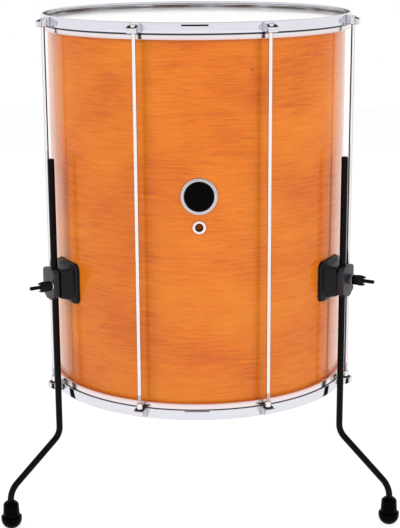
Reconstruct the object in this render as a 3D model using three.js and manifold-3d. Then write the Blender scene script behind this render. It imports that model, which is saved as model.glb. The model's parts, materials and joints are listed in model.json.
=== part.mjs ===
// A standing surdo: a deep wooden bass drum with a plastic head at each end, carried on three bent legs.
// Millimetres, +Z up, floor at z = 0. The badge side of the drum faces -Y. The origin is on the floor, in the
// middle of the ground that the drum covers, so the drum's own axis stands a little way towards -Y from it.
import * as THREE from "three";
import { mergeVertices } from "three/addons/utils/BufferGeometryUtils.js";
import Module from "manifold-3d";

const wasm = await Module();
wasm.setup();

// Shell: an 18 inch drum, 22 inches deep.
const shellOuterR = 228.6;
const shellDepth = 558.8;
const shellWall = 7.5;
const bearingRound = 2;
const bearingBevel = 5;

// Heads, their flesh hoops and the counter hoops.
const filmThick = 0.5;
const filmSkirt = 1.8;
const fleshWide = 6.7;
const fleshHigh = 13.4;
const fleshRound = 1.3;
const hoopThick = 2.3;
const hoopHigh = 15;
const hoopStandProud = 9.25;
const hoopRimHigh = 3.2;
const hoopRimWide = 1.7;
const hoopRimRound = 0.7;

// Lugs: folded boxes welded to the counter hoops, open away from the shell. A hollow clears the rod's
// flange, and the mouth slants from the band's edge to a low outer wall.
const lugCount = 8;
const lugTurn = 1.4;
const lugWall = 2;
const lugBack = 1;
const lugSideSpare = 0.8;
const lugDepthSpare = 2;
const lugShelf = 2.6;
const lugInset = 0.9;
const lugWallHigh = 7.5;
const lugRound = 2.6;

// Tension rods with square key heads, and the captive nuts that they screw into.
const rodR = 2.8;
const rodFlangeLip = 1;
const rodFlangeThick = 1.6;
const keySquare = 6.4;
const keyHigh = 7.6;
const keyChamfer = 0.8;
const nutNeckWall = 1.2;
const nutNeckHigh = 9.5;
const nutFlangeLip = 1.5;
const nutFlangeThick = 5;
const nutChamfer = 0.8;
const rodTipOut = 3;
const rodTipChamfer = 0.8;

// Badge and air vent at the front. The badge's place is measured down from the shell's top edge.
const badgeDrop = 234.9;
const badgeFaceR = 21.3;
const badgeRimWide = 4.9;
const badgeRimThick = 2.4;
const badgeFaceThick = 1.5;
const ventBelowBadge = 8.65;
const ventBoreR = 5.9;
const ventTubeWall = 1;
const ventFlangeLip = 2.85;
const ventFlangeThick = 1.8;
const ventFlangeRound = 0.8;
const ventRingWide = 3.3;
const ventRingThick = 1.8;

// Leg brackets: their height on the shell, the base with its boss, and the clamp jaw. The boss's face keeps
// clear of the rod that stands nearest to a leg.
const bracketRise = 175.6;
const gasketThick = 1.2;
const gasketLip = 0.9;
const baseWide = 67;
const baseHigh = 67;
const baseCorner = 9;
const baseThick = 4.5;
const bossRodGap = 2.95;
const bossEndInset = 4.5;
const bossSideTaper = 5.5;
const bossEndTaper = 4.5;
const bossCorner = 5;
const jawWide = 40;
const jawHigh = 47.5;
const jawDrop = 2.6;
const jawThick = 9.4;
const jawBevel = 1.4;
const jawTopCut = 4;
const jawLowCutWide = 12;
const jawLowCutHigh = 8.5;
const jawGap = 2.2;
const heelWide = 4;

// Clamp stud with its washer and wing nut. The stud passes beside the leg, with a web between them.
const studR = 3;
const studWeb = 3.8;
const studBelow = 3.9;
const studRoot = 13;
const studPast = 9;
const studChamfer = 1;
const washerWide = 3.1;
const washerThick = 1.4;
const hubWall = 3.2;
const hubNoseWall = 1.5;
const hubLong = 12.5;
const hubCollarShare = 1 / 3;
const wingWide = 9;
const wingPast = 11.5;
const wingThick = 3.2;
const wingTiltAngle = 7;

// The plate inside the shell and its two bolts.
const boltR = 3;
const boltSpread = 38;
const boltReach = 9;
const plateEdge = 10;
const plateThick = 2.5;
const plateCorner = 6;

// Legs and rubber feet. The bowl of a foot stands out past its neck, and the neck's wall grips the leg.
const drumLift = 199;
const legR = 5;
const legStandOff = 16.6;
const legTopZ = 570;
const legTopChamfer = 1;
const legSplay = 86;
const kneeZ = 136.7;
const ankleZ = 60.5;
const kneeRadius = 26;
const ankleRadius = 34;
const frontLegAngle = 60;
const backLegAngle = 180;
const footHigh = 40;
const footWall = 5;
const footFlare = 1.7;
const footLedge = 4;
const footPatchR = 5;
const footLipRise = 3.2;
const footLipThick = 1.4;
const footGroove = 1.8;
const footShoulder = 3;
const footSole = 8;

// Fits: the clearance between pieces that touch, round what slides or turns, and the overrun of every cut.
const fitGap = 0.3;
const slideGap = 0.4;
const overrun = 3;
const weld = 0.8;

// Facets of what goes round the drum, of the badge, of small turned pieces and of rods, and the steps of
// bends and corners. The legs stand at whole facets of the drum.
const ringSides = 60;
const badgeSides = 32;
const smallSides = 20;
const rodSides = 12;
const bendSteps = 6;
const bowlSteps = 4;
const wideCornerSteps = 3;
const cornerSteps = 2;

// The sides of the drum that the legs stand on, and the tilt of each wing nut about its stud, in degrees.
const legAngles = { left: -frontLegAngle, right: frontLegAngle, back: backLegAngle };
const wingTilts = { left: wingTiltAngle, right: -wingTiltAngle, back: wingTiltAngle };

// Radii, widths and heights that follow from the sizes above.
const shellInnerR = shellOuterR - shellWall;
const shellBottomZ = drumLift + hoopStandProud;
const shellTopZ = shellBottomZ + shellDepth;
const fleshInnerR = shellOuterR + fitGap;
const fleshOuterR = fleshInnerR + fleshWide;
const filmOuterR = fleshInnerR + filmThick;
const filmTop = fitGap + filmThick;
const hoopInnerR = fleshOuterR + slideGap;
const hoopOuterR = hoopInnerR + hoopThick;
const hoopInsideEdge = hoopStandProud - hoopHigh;
const nutNeckR = rodR + fitGap + nutNeckWall;
const lugHoleR = nutNeckR + slideGap;
const rodFlangeR = lugHoleR + rodFlangeLip;
const lugHollowWide = 2 * (rodFlangeR + lugSideSpare);
const lugHollowDeep = 2 * (rodFlangeR + lugDepthSpare);
const rodCircleR = hoopOuterR + lugBack + lugHollowDeep / 2;
const lugOuterR = rodCircleR + lugHollowDeep / 2 + lugWall;
const lugHalfWide = lugHollowWide / 2 + lugWall;
const lugMouth = hoopStandProud - lugInset;
const lugWallEdge = hoopInsideEdge + lugWallHigh;
const lugSeat = hoopInsideEdge + lugShelf;
const badgeR = badgeFaceR + fitGap + badgeRimWide;
const badgeZ = shellTopZ - badgeDrop;
const ventTubeR = ventBoreR + ventTubeWall;
const ventFlangeR = ventTubeR + ventFlangeLip;
const ventRingR = ventTubeR + fitGap + ventRingWide;
const ventZ = badgeZ - badgeR - ventBelowBadge - ventFlangeR;
const bracketZ = shellBottomZ + bracketRise;
const gasketInnerR = shellOuterR + fitGap;
const baseInnerR = gasketInnerR + gasketThick + fitGap;
const baseOuterR = baseInnerR + baseThick;
const bossFaceWide = 2 * (nearestRodAside() - rodR - bossRodGap);
const bossFaceHigh = baseHigh - 2 * (bossEndInset + bossEndTaper);
const legCircleR = baseOuterR + legStandOff;
const clampFaceR = legCircleR - jawGap / 2;
const jawInnerR = legCircleR + jawGap / 2;
const jawOuterR = jawInnerR + jawThick;
const grooveR = legR + fitGap;
const studAside = grooveR + studWeb + slideGap + studR;
const washerR = studR + slideGap + washerWide;
const washerFaceR = jawOuterR + fitGap + washerThick;
const hubR = studR + fitGap + hubWall;
const hubNoseR = studR + fitGap + hubNoseWall;
const wingNutFaceR = washerFaceR + fitGap;
const wingSpan = hubR + wingWide;
const wingLong = hubLong + wingPast;
const plateWide = 2 * (boltR + plateEdge);
const plateHigh = boltSpread + 2 * plateEdge;
const footCircleR = legCircleR + legSplay;
const footNeckTopR = legR + fitGap + footWall;
const footNeckR = footNeckTopR + footFlare;
const footBowlR = footNeckR + footLedge;

// The ground that the drum covers reaches from the front lugs to the back foot, and its middle is the origin.
const frontLugAngle = THREE.MathUtils.degToRad(180 / lugCount - lugTurn);
const frontReach = lugOuterR * Math.cos(frontLugAngle) + lugHalfWide * Math.sin(frontLugAngle);
const backReach = footCircleR + footBowlR;
const axisY = (frontReach - backReach) / 2;

const finishes = {
  lacqueredWood: { color: 0xd9702c, roughness: 0.3, metalness: 0 },
  chrome: { color: 0xd8dade, roughness: 0.08, metalness: 1 },
  aluminium: { color: 0xdcdde0, roughness: 0.25, metalness: 1 },
  whiteFilm: { color: 0xf6f6f8, roughness: 0.35, metalness: 0 },
  blackEnamel: { color: 0x0b0b0c, roughness: 0.15, metalness: 0 },
  blackCoat: { color: 0x1b1b1d, roughness: 0.45, metalness: 0.2 },
  blackSteel: { color: 0x121214, roughness: 0.35, metalness: 0.4 },
  rubber: { color: 0x101011, roughness: 0.7, metalness: 0 },
  zincSteel: { color: 0xb9bcc0, roughness: 0.35, metalness: 1 },
};

// A closed geometry as a solid that can be cut and joined.
function solidOf(geometry) {
  const bare = geometry.clone();
  bare.deleteAttribute("normal");
  bare.deleteAttribute("uv");
  const merged = mergeVertices(bare);
  const vertProperties = merged.getAttribute("position").array;
  const triVerts = new Uint32Array(merged.index.array);
  return new wasm.Manifold(new wasm.Mesh({ numProp: 3, vertProperties, triVerts }));
}

// A solid as a named mesh with its own material.
function piece(name, solid, finish) {
  const mesh = solid.getMesh();
  const geometry = new THREE.BufferGeometry();
  geometry.setAttribute("position", new THREE.BufferAttribute(mesh.vertProperties, 3));
  geometry.setIndex(new THREE.BufferAttribute(mesh.triVerts, 1));
  geometry.computeVertexNormals();
  const made = new THREE.Mesh(geometry, new THREE.MeshStandardMaterial(finishes[finish]));
  made.name = name;
  return made;
}

// A turned geometry from an outline of [radius, height] pairs. The outline closes on itself, or starts and
// ends on the axis, and it may be listed in either sense.
function lathed(outline, sides) {
  const points = outline.map(([r, height]) => new THREE.Vector2(r, height));
  const onAxis = points[0].x === 0;
  if (THREE.ShapeUtils.area(points) < 0) points.reverse();
  if (!onAxis) points.push(points[0].clone());
  return new THREE.LatheGeometry(points, sides);
}

// A solid turned about the Z axis, and one turned about a line that points out of the drum towards -Y, whose
// outline gives distances out from where it starts.
function turned(outline, sides) {
  return solidOf(lathed(outline, sides).rotateX(Math.PI / 2));
}

function turnedOutward(outline, sides, x, distanceOut, z) {
  return solidOf(lathed(outline, sides).rotateX(Math.PI).translate(x, -distanceOut, z));
}

// A plain upright rod, and a plain rod that points out of the drum.
function uprightRod(r, fromZ, toZ, sides, x, y) {
  const geometry = new THREE.CylinderGeometry(r, r, toZ - fromZ, sides).rotateX(Math.PI / 2);
  return solidOf(geometry.translate(x, y, (fromZ + toZ) / 2));
}

function outwardRod(r, fromR, toR, sides, x, z) {
  const geometry = new THREE.CylinderGeometry(r, r, toR - fromR, sides);
  return solidOf(geometry.translate(x, -(fromR + toR) / 2, z));
}

// A block between two corners.
function block([x0, y0, z0], [x1, y1, z1]) {
  const geometry = new THREE.BoxGeometry(x1 - x0, y1 - y0, z1 - z0);
  return solidOf(geometry.translate((x0 + x1) / 2, (y0 + y1) / 2, (z0 + z1) / 2));
}

// A rectangle with cut or rounded corners, as a list of points round its middle.
function roundedRect(wide, high, corner, steps) {
  const corners = [
    [wide / 2 - corner, high / 2 - corner, 0],
    [corner - wide / 2, high / 2 - corner, 90],
    [corner - wide / 2, corner - high / 2, 180],
    [wide / 2 - corner, corner - high / 2, 270],
  ];
  return corners.flatMap(([x, y, start]) =>
    Array.from({ length: steps + 1 }, (_, i) => {
      const angle = THREE.MathUtils.degToRad(start + (90 * i) / steps);
      return new THREE.Vector2(x + corner * Math.cos(angle), y + corner * Math.sin(angle));
    }),
  );
}

// A round outline with the given number of sides.
function circle(r, sides) {
  return Array.from({ length: sides }, (_, i) => {
    const angle = (2 * Math.PI * i) / sides;
    return new THREE.Vector2(r * Math.cos(angle), r * Math.sin(angle));
  });
}

// An outline, seen from the front, extruded out of the drum between two distances from the drum's axis.
function outwardPrism(outline, fromR, toR) {
  const depth = toR - fromR;
  const geometry = new THREE.ExtrudeGeometry(new THREE.Shape(outline), { depth, bevelEnabled: false });
  return solidOf(geometry.rotateX(Math.PI / 2).translate(0, -fromR, 0));
}

// A plate of the given outline, bent round the drum between two radii.
function wrapped(outline, innerR, outerR) {
  const reach = Math.max(...outline.map((p) => Math.abs(p.y))) + overrun;
  const tube = turned(
    [
      [innerR, -reach],
      [outerR, -reach],
      [outerR, reach],
      [innerR, reach],
    ],
    ringSides,
  );
  return outwardPrism(outline, 0, outerR + overrun).intersect(tube);
}

// A solid whose skin passes through rings of equal point count, closed at both ends. The cap gives the flat
// outline by which the end rings are filled, counterclockwise when seen from the last ring's side.
function skinned(rings, cap) {
  const count = cap.length;
  const vertices = rings.flatMap((ring) => ring.flatMap((p) => p.toArray()));
  const indices = [];
  for (let s = 0; s + 1 < rings.length; s += 1) {
    for (let i = 0; i < count; i += 1) {
      const a = s * count + i;
      const b = s * count + ((i + 1) % count);
      indices.push(a, b, b + count, a, b + count, a + count);
    }
  }
  const last = (rings.length - 1) * count;
  for (const [a, b, c] of THREE.ShapeUtils.triangulateShape(cap, [])) {
    indices.push(a, c, b, last + a, last + b, last + c);
  }
  const geometry = new THREE.BufferGeometry();
  geometry.setAttribute("position", new THREE.Float32BufferAttribute(vertices, 3));
  geometry.setIndex(indices);
  return solidOf(geometry);
}

// A solid that passes through outlines, seen from the front, each at its own distance from the drum's axis.
function lofted(sections) {
  const rings = sections.map(({ outline, at }) => outline.map((p) => new THREE.Vector3(p.x, -at, p.y)));
  return skinned(rings, sections[0].outline);
}

// A place on one end of the drum. Top and bottom are alike: out is counted from the shell's end, away from
// the drum's middle.
function endHeight(end, out) {
  return end === "top" ? shellTopZ + out : shellBottomZ - out;
}

function endOutline(end, outline) {
  return outline.map(([r, out]) => [r, endHeight(end, out)]);
}

function lugAngles() {
  return Array.from({ length: lugCount }, (_, i) => {
    return THREE.MathUtils.degToRad(lugTurn + (360 / lugCount) * (i + 1 / 2));
  });
}

// How far to the side of a leg the nearest rod stands.
function nearestRodAside() {
  const asides = Object.values(legAngles).flatMap((side) =>
    lugAngles().map((angle) => {
      const turn = angle - THREE.MathUtils.degToRad(side);
      return Math.cos(turn) > 0 ? Math.abs(rodCircleR * Math.sin(turn)) : rodCircleR;
    }),
  );
  return Math.min(...asides);
}

// The shell is a straight wooden tube with a bearing edge at each end, the vent hole and the bolt holes.
function makeShell() {
  const lowEdge = shellBottomZ + bearingRound;
  const highEdge = shellTopZ - bearingRound;
  let shell = turned(
    [
      [shellOuterR, lowEdge],
      [shellOuterR, highEdge],
      [shellOuterR - bearingRound, shellTopZ],
      [shellInnerR, shellTopZ - bearingBevel],
      [shellInnerR, shellBottomZ + bearingBevel],
      [shellOuterR - bearingRound, shellBottomZ],
    ],
    ringSides,
  );
  const cutFrom = shellInnerR - overrun;
  const cutTo = shellOuterR + overrun;
  shell = shell.subtract(outwardRod(ventTubeR + fitGap, cutFrom, cutTo, smallSides, 0, ventZ));
  for (const angle of Object.values(legAngles)) {
    for (const side of [-1, 1]) {
      const z = bracketZ + (side * boltSpread) / 2;
      const hole = outwardRod(boltR + slideGap, cutFrom, cutTo, rodSides, 0, z);
      shell = shell.subtract(hole.rotate([0, 0, angle]));
    }
  }
  return piece("shell", shell, "lacqueredWood");
}

// A head is a tight film over the bearing edge, turned down a little outside it.
function makeHead(name, end) {
  const skirtEnd = filmTop - filmThick - filmSkirt;
  const bendOuter = bearingRound + filmThick;
  const film = turned(
    endOutline(end, [
      [0, fitGap],
      [shellOuterR - bearingRound, fitGap],
      [fleshInnerR, fitGap - bearingRound / 2],
      [fleshInnerR, skirtEnd],
      [filmOuterR, skirtEnd],
      [filmOuterR, filmTop - filmThick],
      [filmOuterR - bendOuter / 2, filmTop],
      [0, filmTop],
    ]),
    ringSides,
  );
  return piece(name, film, "whiteFilm");
}

// The flesh hoop holds the film's edge and shows below the counter hoop.
function makeFleshHoop(name, end) {
  const outer = -filmSkirt;
  const inner = outer - fleshHigh;
  const ring = turned(
    endOutline(end, [
      [fleshInnerR, inner],
      [fleshOuterR - fleshRound, inner],
      [fleshOuterR, inner + fleshRound],
      [fleshOuterR, outer - fleshRound],
      [fleshOuterR - fleshRound, outer],
      [fleshInnerR, outer],
    ]),
    ringSides,
  );
  return piece(name, ring, "aluminium");
}

// One lug box on a counter hoop, at the front of the drum before it is turned to its place: the outer half of
// a rounded rectangle that is centred on the band.
function lugBox(end) {
  const low = Math.min(endHeight(end, hoopInsideEdge), endHeight(end, lugMouth));
  const high = Math.max(endHeight(end, hoopInsideEdge), endHeight(end, lugMouth));
  const fromR = hoopOuterR - weld;
  const deep = lugOuterR - fromR;
  const outline = roundedRect(2 * lugHalfWide, 2 * deep, lugRound, cornerSteps).filter((p) => p.y <= 0);
  outline.push(new THREE.Vector2(lugHalfWide, 0), new THREE.Vector2(-lugHalfWide, 0));
  const shape = new THREE.Shape(outline);
  const geometry = new THREE.ExtrudeGeometry(shape, { depth: high - low, bevelEnabled: false });
  return solidOf(geometry.translate(0, -fromR, low));
}

// The hollow of a lug, open away from the drum's middle, and the hole in its shelf.
function lugHollow(end) {
  const seat = endHeight(end, lugSeat);
  const mouth = endHeight(end, lugMouth + overrun);
  const under = endHeight(end, hoopInsideEdge - overrun);
  const hollow = block(
    [-lugHollowWide / 2, -rodCircleR - lugHollowDeep / 2, Math.min(seat, mouth)],
    [lugHollowWide / 2, -rodCircleR + lugHollowDeep / 2, Math.max(seat, mouth)],
  );
  const hole = uprightRod(lugHoleR, Math.min(seat, under), Math.max(seat, under), rodSides, 0, -rodCircleR);
  return hollow.add(hole);
}

// What the slanted mouth takes off a lug: all past the line from the band to the outer wall's edge.
function lugMouthCut(end) {
  const profile = [
    [hoopOuterR + lugBack, lugMouth],
    [lugOuterR, lugWallEdge],
    [lugOuterR + overrun, lugWallEdge],
    [lugOuterR + overrun, lugMouth + overrun],
    [hoopOuterR + lugBack, lugMouth + overrun],
  ];
  const shape = new THREE.Shape(profile.map(([r, out]) => new THREE.Vector2(r, endHeight(end, out))));
  const depth = 2 * (lugHalfWide + overrun);
  const geometry = new THREE.ExtrudeGeometry(shape, { depth, bevelEnabled: false }).translate(0, 0, -depth / 2);
  const outward = new THREE.Vector3(0, -1, 0);
  const upward = new THREE.Vector3(0, 0, 1);
  const stand = new THREE.Matrix4().makeBasis(outward, upward, outward.clone().cross(upward));
  return solidOf(geometry.applyMatrix4(stand));
}

// A counter hoop is a rolled steel band with a rim, a ledge that presses on the flesh hoop, and its lugs.
function makeCounterHoop(name, end) {
  const ledgeBottom = fitGap - filmSkirt;
  const ledgeInnerR = filmOuterR + slideGap;
  const rimInnerR = hoopInnerR - hoopRimWide;
  let hoop = turned(
    endOutline(end, [
      [hoopInnerR, hoopInsideEdge],
      [hoopOuterR, hoopInsideEdge],
      [hoopOuterR, hoopStandProud - hoopRimRound],
      [hoopOuterR - hoopRimRound, hoopStandProud],
      [rimInnerR + hoopRimRound, hoopStandProud],
      [rimInnerR, hoopStandProud - hoopRimRound],
      [rimInnerR, hoopStandProud - hoopRimHigh],
      [hoopInnerR, hoopStandProud - hoopRimHigh - hoopRimRound],
      [hoopInnerR, filmTop],
      [ledgeInnerR, filmTop],
      [ledgeInnerR, ledgeBottom],
      [hoopInnerR, ledgeBottom],
    ]),
    ringSides,
  );
  const lug = lugBox(end).subtract(lugHollow(end)).subtract(lugMouthCut(end));
  for (const angle of lugAngles()) {
    hoop = hoop.add(lug.rotate([0, 0, THREE.MathUtils.radToDeg(angle)]));
  }
  return piece(name, hoop, "chrome");
}

// A tension rod hangs by its flange in a top lug and runs down through the nut in the bottom lug.
function makeTensionRod(number) {
  const seat = endHeight("top", lugSeat) + fitGap;
  const flangeTop = seat + rodFlangeThick;
  const tip = endHeight("bottom", lugSeat) - fitGap - nutFlangeThick - rodTipOut;
  const rod = turned(
    [
      [0, tip],
      [rodR - rodTipChamfer, tip],
      [rodR, tip + rodTipChamfer],
      [rodR, seat],
      [rodFlangeR, seat],
      [rodFlangeR, flangeTop],
      [0, flangeTop],
    ],
    rodSides,
  );
  const half = keySquare / 2;
  const key = solidOf(
    new THREE.ExtrudeGeometry(new THREE.Shape(roundedRect(keySquare, keySquare, keyChamfer, 1)), {
      depth: rodFlangeThick / 2 + keyHigh,
      bevelEnabled: false,
    }).translate(0, 0, flangeTop - rodFlangeThick / 2),
  );
  const dome = turned(
    [
      [0, flangeTop - rodFlangeThick],
      [half * Math.SQRT2, flangeTop - rodFlangeThick],
      [half * Math.SQRT2, flangeTop + keyHigh - keyChamfer],
      [half, flangeTop + keyHigh],
      [0, flangeTop + keyHigh],
    ],
    rodSides,
  );
  return piece(`tension_rod_${number}`, rod.add(key.intersect(dome)), "chrome");
}

// The captive nut sits under the bottom lug's shelf, with its neck standing up through the hole.
function makeTuningNut(number) {
  const seat = endHeight("bottom", lugSeat) - fitGap;
  const flangeBottom = seat - nutFlangeThick;
  const neckTop = endHeight("bottom", hoopInsideEdge) + nutNeckHigh;
  const neck = turned(
    [
      [0, flangeBottom],
      [nutNeckR, flangeBottom],
      [nutNeckR, neckTop - nutChamfer],
      [nutNeckR - nutChamfer, neckTop],
      [0, neckTop],
    ],
    rodSides,
  );
  const half = nutNeckR + nutFlangeLip;
  const flange = block([-half, -half, flangeBottom], [half, half, seat]);
  const bore = uprightRod(rodR + fitGap, flangeBottom - overrun, neckTop + overrun, rodSides, 0, 0);
  return piece(`tuning_nut_${number}`, neck.add(flange).subtract(bore), "chrome");
}

// The round badge: a stepped bright rim and a plain black face, both bent to the shell.
function makeBadge() {
  const innerR = shellOuterR + fitGap;
  const hole = outwardPrism(circle(badgeFaceR + fitGap, badgeSides), 0, innerR + badgeRimThick + overrun);
  const rim = wrapped(circle(badgeR, badgeSides), innerR, innerR + badgeRimThick).subtract(hole);
  const face = wrapped(circle(badgeFaceR, badgeSides), innerR, innerR + badgeFaceThick);
  const parts = [piece("badge_rim", rim, "chrome"), piece("badge_face", face, "blackEnamel")];
  for (const part of parts) part.position.z = badgeZ;
  return parts;
}

// The air vent: a flanged tube through the shell, and the ring that holds it inside.
function makeVent() {
  const flangeBack = shellOuterR + fitGap;
  const tubeEnd = shellInnerR - fitGap - ventRingThick - flangeBack;
  const grommet = turnedOutward(
    [
      [ventBoreR, tubeEnd],
      [ventTubeR, tubeEnd],
      [ventTubeR, 0],
      [ventFlangeR, 0],
      [ventFlangeR, ventFlangeThick - ventFlangeRound],
      [ventFlangeR - ventFlangeRound, ventFlangeThick],
      [ventBoreR + ventFlangeRound, ventFlangeThick],
      [ventBoreR, ventFlangeThick - ventFlangeRound],
    ],
    smallSides,
    0,
    flangeBack,
    ventZ,
  );
  const facetShare = Math.cos(Math.PI / ringSides);
  const ringFace = Math.sqrt(shellInnerR ** 2 - ventRingR ** 2) * facetShare - fitGap;
  const ringCore = ventTubeR + fitGap;
  const ring = turnedOutward(
    [
      [ringCore, -ventRingThick],
      [ventRingR, -ventRingThick],
      [ventRingR, 0],
      [ringCore, 0],
    ],
    smallSides,
    0,
    ringFace,
    ventZ,
  );
  return [piece("vent_grommet", grommet, "chrome"), piece("vent_lock_ring", ring, "zincSteel")];
}

// The bracket base: a plate bent round the shell with a tapering boss, a groove for the leg, and its holes.
function makeBracketBase(side) {
  const outline = roundedRect(baseWide, baseHigh, baseCorner, wideCornerSteps);
  const rootWide = bossFaceWide + 2 * bossSideTaper;
  const rootHigh = bossFaceHigh + 2 * bossEndTaper;
  const root = roundedRect(rootWide, rootHigh, bossCorner, cornerSteps);
  const face = roundedRect(bossFaceWide, bossFaceHigh, bossCorner, cornerSteps);
  const boss = lofted([
    { outline: root, at: baseInnerR + baseThick / 2 },
    { outline: face, at: clampFaceR },
  ]);
  const groove = uprightRod(grooveR, -baseHigh, baseHigh, rodSides, 0, -legCircleR);
  let base = wrapped(outline, baseInnerR, baseOuterR).add(boss).subtract(groove);
  const studBottom = clampFaceR - studRoot - fitGap;
  base = base.subtract(
    outwardRod(studR + fitGap, studBottom, clampFaceR + overrun, rodSides, studAside, -studBelow),
  );
  for (const sign of [-1, 1]) {
    const z = (sign * boltSpread) / 2;
    const boltEnd = shellOuterR + boltReach + fitGap;
    base = base.subtract(outwardRod(boltR + fitGap, shellInnerR, boltEnd, rodSides, 0, z));
  }
  return piece(`bracket_base_${side}`, base, "blackCoat");
}

// The rubber gasket between the bracket base and the shell, with holes for the two bolts.
function makeGasket(side) {
  const wide = baseWide + 2 * gasketLip;
  const high = baseHigh + 2 * gasketLip;
  const outline = roundedRect(wide, high, baseCorner + gasketLip, wideCornerSteps);
  let gasket = wrapped(outline, gasketInnerR, gasketInnerR + gasketThick);
  for (const sign of [-1, 1]) {
    const z = (sign * boltSpread) / 2;
    const hole = outwardRod(boltR + slideGap, shellInnerR, baseOuterR, rodSides, 0, z);
    gasket = gasket.subtract(hole);
  }
  return piece(`bracket_gasket_${side}`, gasket, "rubber");
}

// The plate inside the shell, with the two bolts that draw the bracket base against it.
function makeBackingPlate(side) {
  const outerR = shellInnerR - fitGap;
  const outline = roundedRect(plateWide, plateHigh, plateCorner, cornerSteps);
  let plate = wrapped(outline, outerR - plateThick, outerR);
  for (const sign of [-1, 1]) {
    const z = (sign * boltSpread) / 2;
    const boltFrom = outerR - plateThick / 2;
    plate = plate.add(outwardRod(boltR, boltFrom, shellOuterR + boltReach, rodSides, 0, z));
  }
  return piece(`bracket_bolt_plate_${side}`, plate, "zincSteel");
}

// The outline of the clamp jaw: small cuts at the top corners and long ones at the bottom.
function jawOutline(inset) {
  const x = jawWide / 2 - inset;
  const top = jawHigh / 2 - inset;
  const bottom = -top;
  return [
    [x, bottom + jawLowCutHigh],
    [x, top - jawTopCut],
    [x - jawTopCut, top],
    [jawTopCut - x, top],
    [-x, top - jawTopCut],
    [-x, bottom + jawLowCutHigh],
    [jawLowCutWide - x, bottom],
    [x - jawLowCutWide, bottom],
  ].map(([px, py]) => new THREE.Vector2(px, py - jawDrop));
}

// The clamp jaw presses the leg into the base's groove and rocks on its heel, away from the stud.
function makeJaw(side) {
  const plate = lofted([
    { outline: jawOutline(0), at: jawInnerR },
    { outline: jawOutline(0), at: jawOuterR - jawBevel },
    { outline: jawOutline(jawBevel), at: jawOuterR },
  ]);
  const heelHalf = jawHigh / 2 - Math.max(jawTopCut, jawLowCutHigh);
  const heel = block(
    [-jawWide / 2, -jawInnerR - jawBevel, -jawDrop - heelHalf],
    [heelWide - jawWide / 2, -clampFaceR - fitGap, -jawDrop + heelHalf],
  );
  const groove = uprightRod(grooveR, -jawHigh, jawHigh, rodSides, 0, -legCircleR);
  const hole = outwardRod(studR + slideGap, clampFaceR, jawOuterR + overrun, rodSides, studAside, -studBelow);
  return piece(`clamp_jaw_${side}`, plate.add(heel).subtract(groove).subtract(hole), "blackCoat");
}

// The clamp stud stands in the base and runs out through the jaw, the washer and the wing nut.
function makeStud(side) {
  const root = clampFaceR - studRoot;
  const length = wingNutFaceR + wingLong + studPast - root;
  const stud = turnedOutward(
    [
      [0, 0],
      [studR, 0],
      [studR, length - studChamfer],
      [studR - studChamfer, length],
      [0, length],
    ],
    rodSides,
    studAside,
    root,
    -studBelow,
  );
  return piece(`clamp_stud_${side}`, stud, "zincSteel");
}

function makeWasher(side) {
  const washer = turnedOutward(
    [
      [studR + slideGap, 0],
      [washerR, 0],
      [washerR, washerThick],
      [studR + slideGap, washerThick],
    ],
    smallSides,
    studAside,
    jawOuterR + fitGap,
    -studBelow,
  );
  return piece(`clamp_washer_${side}`, washer, "chrome");
}

// One wing of the wing nut, as shares of its length along the stud and of its span from the stud's line.
const wingShares = [
  [0.1, 0],
  [0.1, 0.36],
  [0.3, 0.8],
  [0.62, 1],
  [0.92, 1],
  [1, 0.8],
  [0.86, 0.6],
  [0.52, 0.42],
  [0.5, 0],
];

function makeWingNut(side) {
  const hub = turnedOutward(
    [
      [0, 0],
      [hubR, 0],
      [hubR, hubLong * hubCollarShare],
      [hubNoseR, hubLong],
      [0, hubLong],
    ],
    rodSides,
    0,
    0,
    0,
  );
  const outline = wingShares.map(([along, out]) => new THREE.Vector2(out * wingSpan, along * wingLong));
  const flat = new THREE.ExtrudeGeometry(new THREE.Shape(outline), { depth: wingThick, bevelEnabled: false });
  const wing = solidOf(flat.translate(0, 0, -wingThick / 2).rotateX(Math.PI));
  const bore = outwardRod(studR + fitGap, -overrun, wingLong + overrun, rodSides, 0, 0);
  const nut = hub.add(wing).add(wing.rotate([0, 180, 0])).subtract(bore);
  const place = [studAside, -wingNutFaceR, -studBelow];
  return piece(`wing_nut_${side}`, nut.rotate([0, wingTilts[side], 0]).translate(place), "blackSteel");
}

// A leg: an upright rod bent outward at the knee and down again at the ankle, with an even round section.
function makeLeg(side) {
  const slope = Math.atan2(legSplay, kneeZ - ankleZ);
  const kneeTop = kneeZ + kneeRadius * Math.tan(slope / 2);
  const ankleFoot = ankleZ - ankleRadius * Math.tan(slope / 2);
  const section = circle(1, rodSides);
  const ring = (out, z, r = legR, turn = 0) =>
    section.map((p) => {
      const y = -legCircleR - out - r * p.y * Math.cos(turn);
      return new THREE.Vector3(r * p.x, y, z + r * p.y * Math.sin(turn));
    });
  const turns = Array.from({ length: bendSteps + 1 }, (_, i) => (slope * i) / bendSteps);
  const knee = turns.map((turn) =>
    ring(kneeRadius * (1 - Math.cos(turn)), kneeTop - kneeRadius * Math.sin(turn), legR, turn),
  );
  const ankle = turns.toReversed().map((turn) => {
    const out = legSplay - ankleRadius * (1 - Math.cos(turn));
    return ring(out, ankleFoot + ankleRadius * Math.sin(turn), legR, turn);
  });
  const rings = [
    ring(0, legTopZ, legR - legTopChamfer),
    ring(0, legTopZ - legTopChamfer),
    ...knee,
    ...ankle,
    ring(legSplay, footSole + fitGap),
  ];
  return piece(`leg_${side}`, skinned(rings, section), "blackSteel");
}

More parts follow.
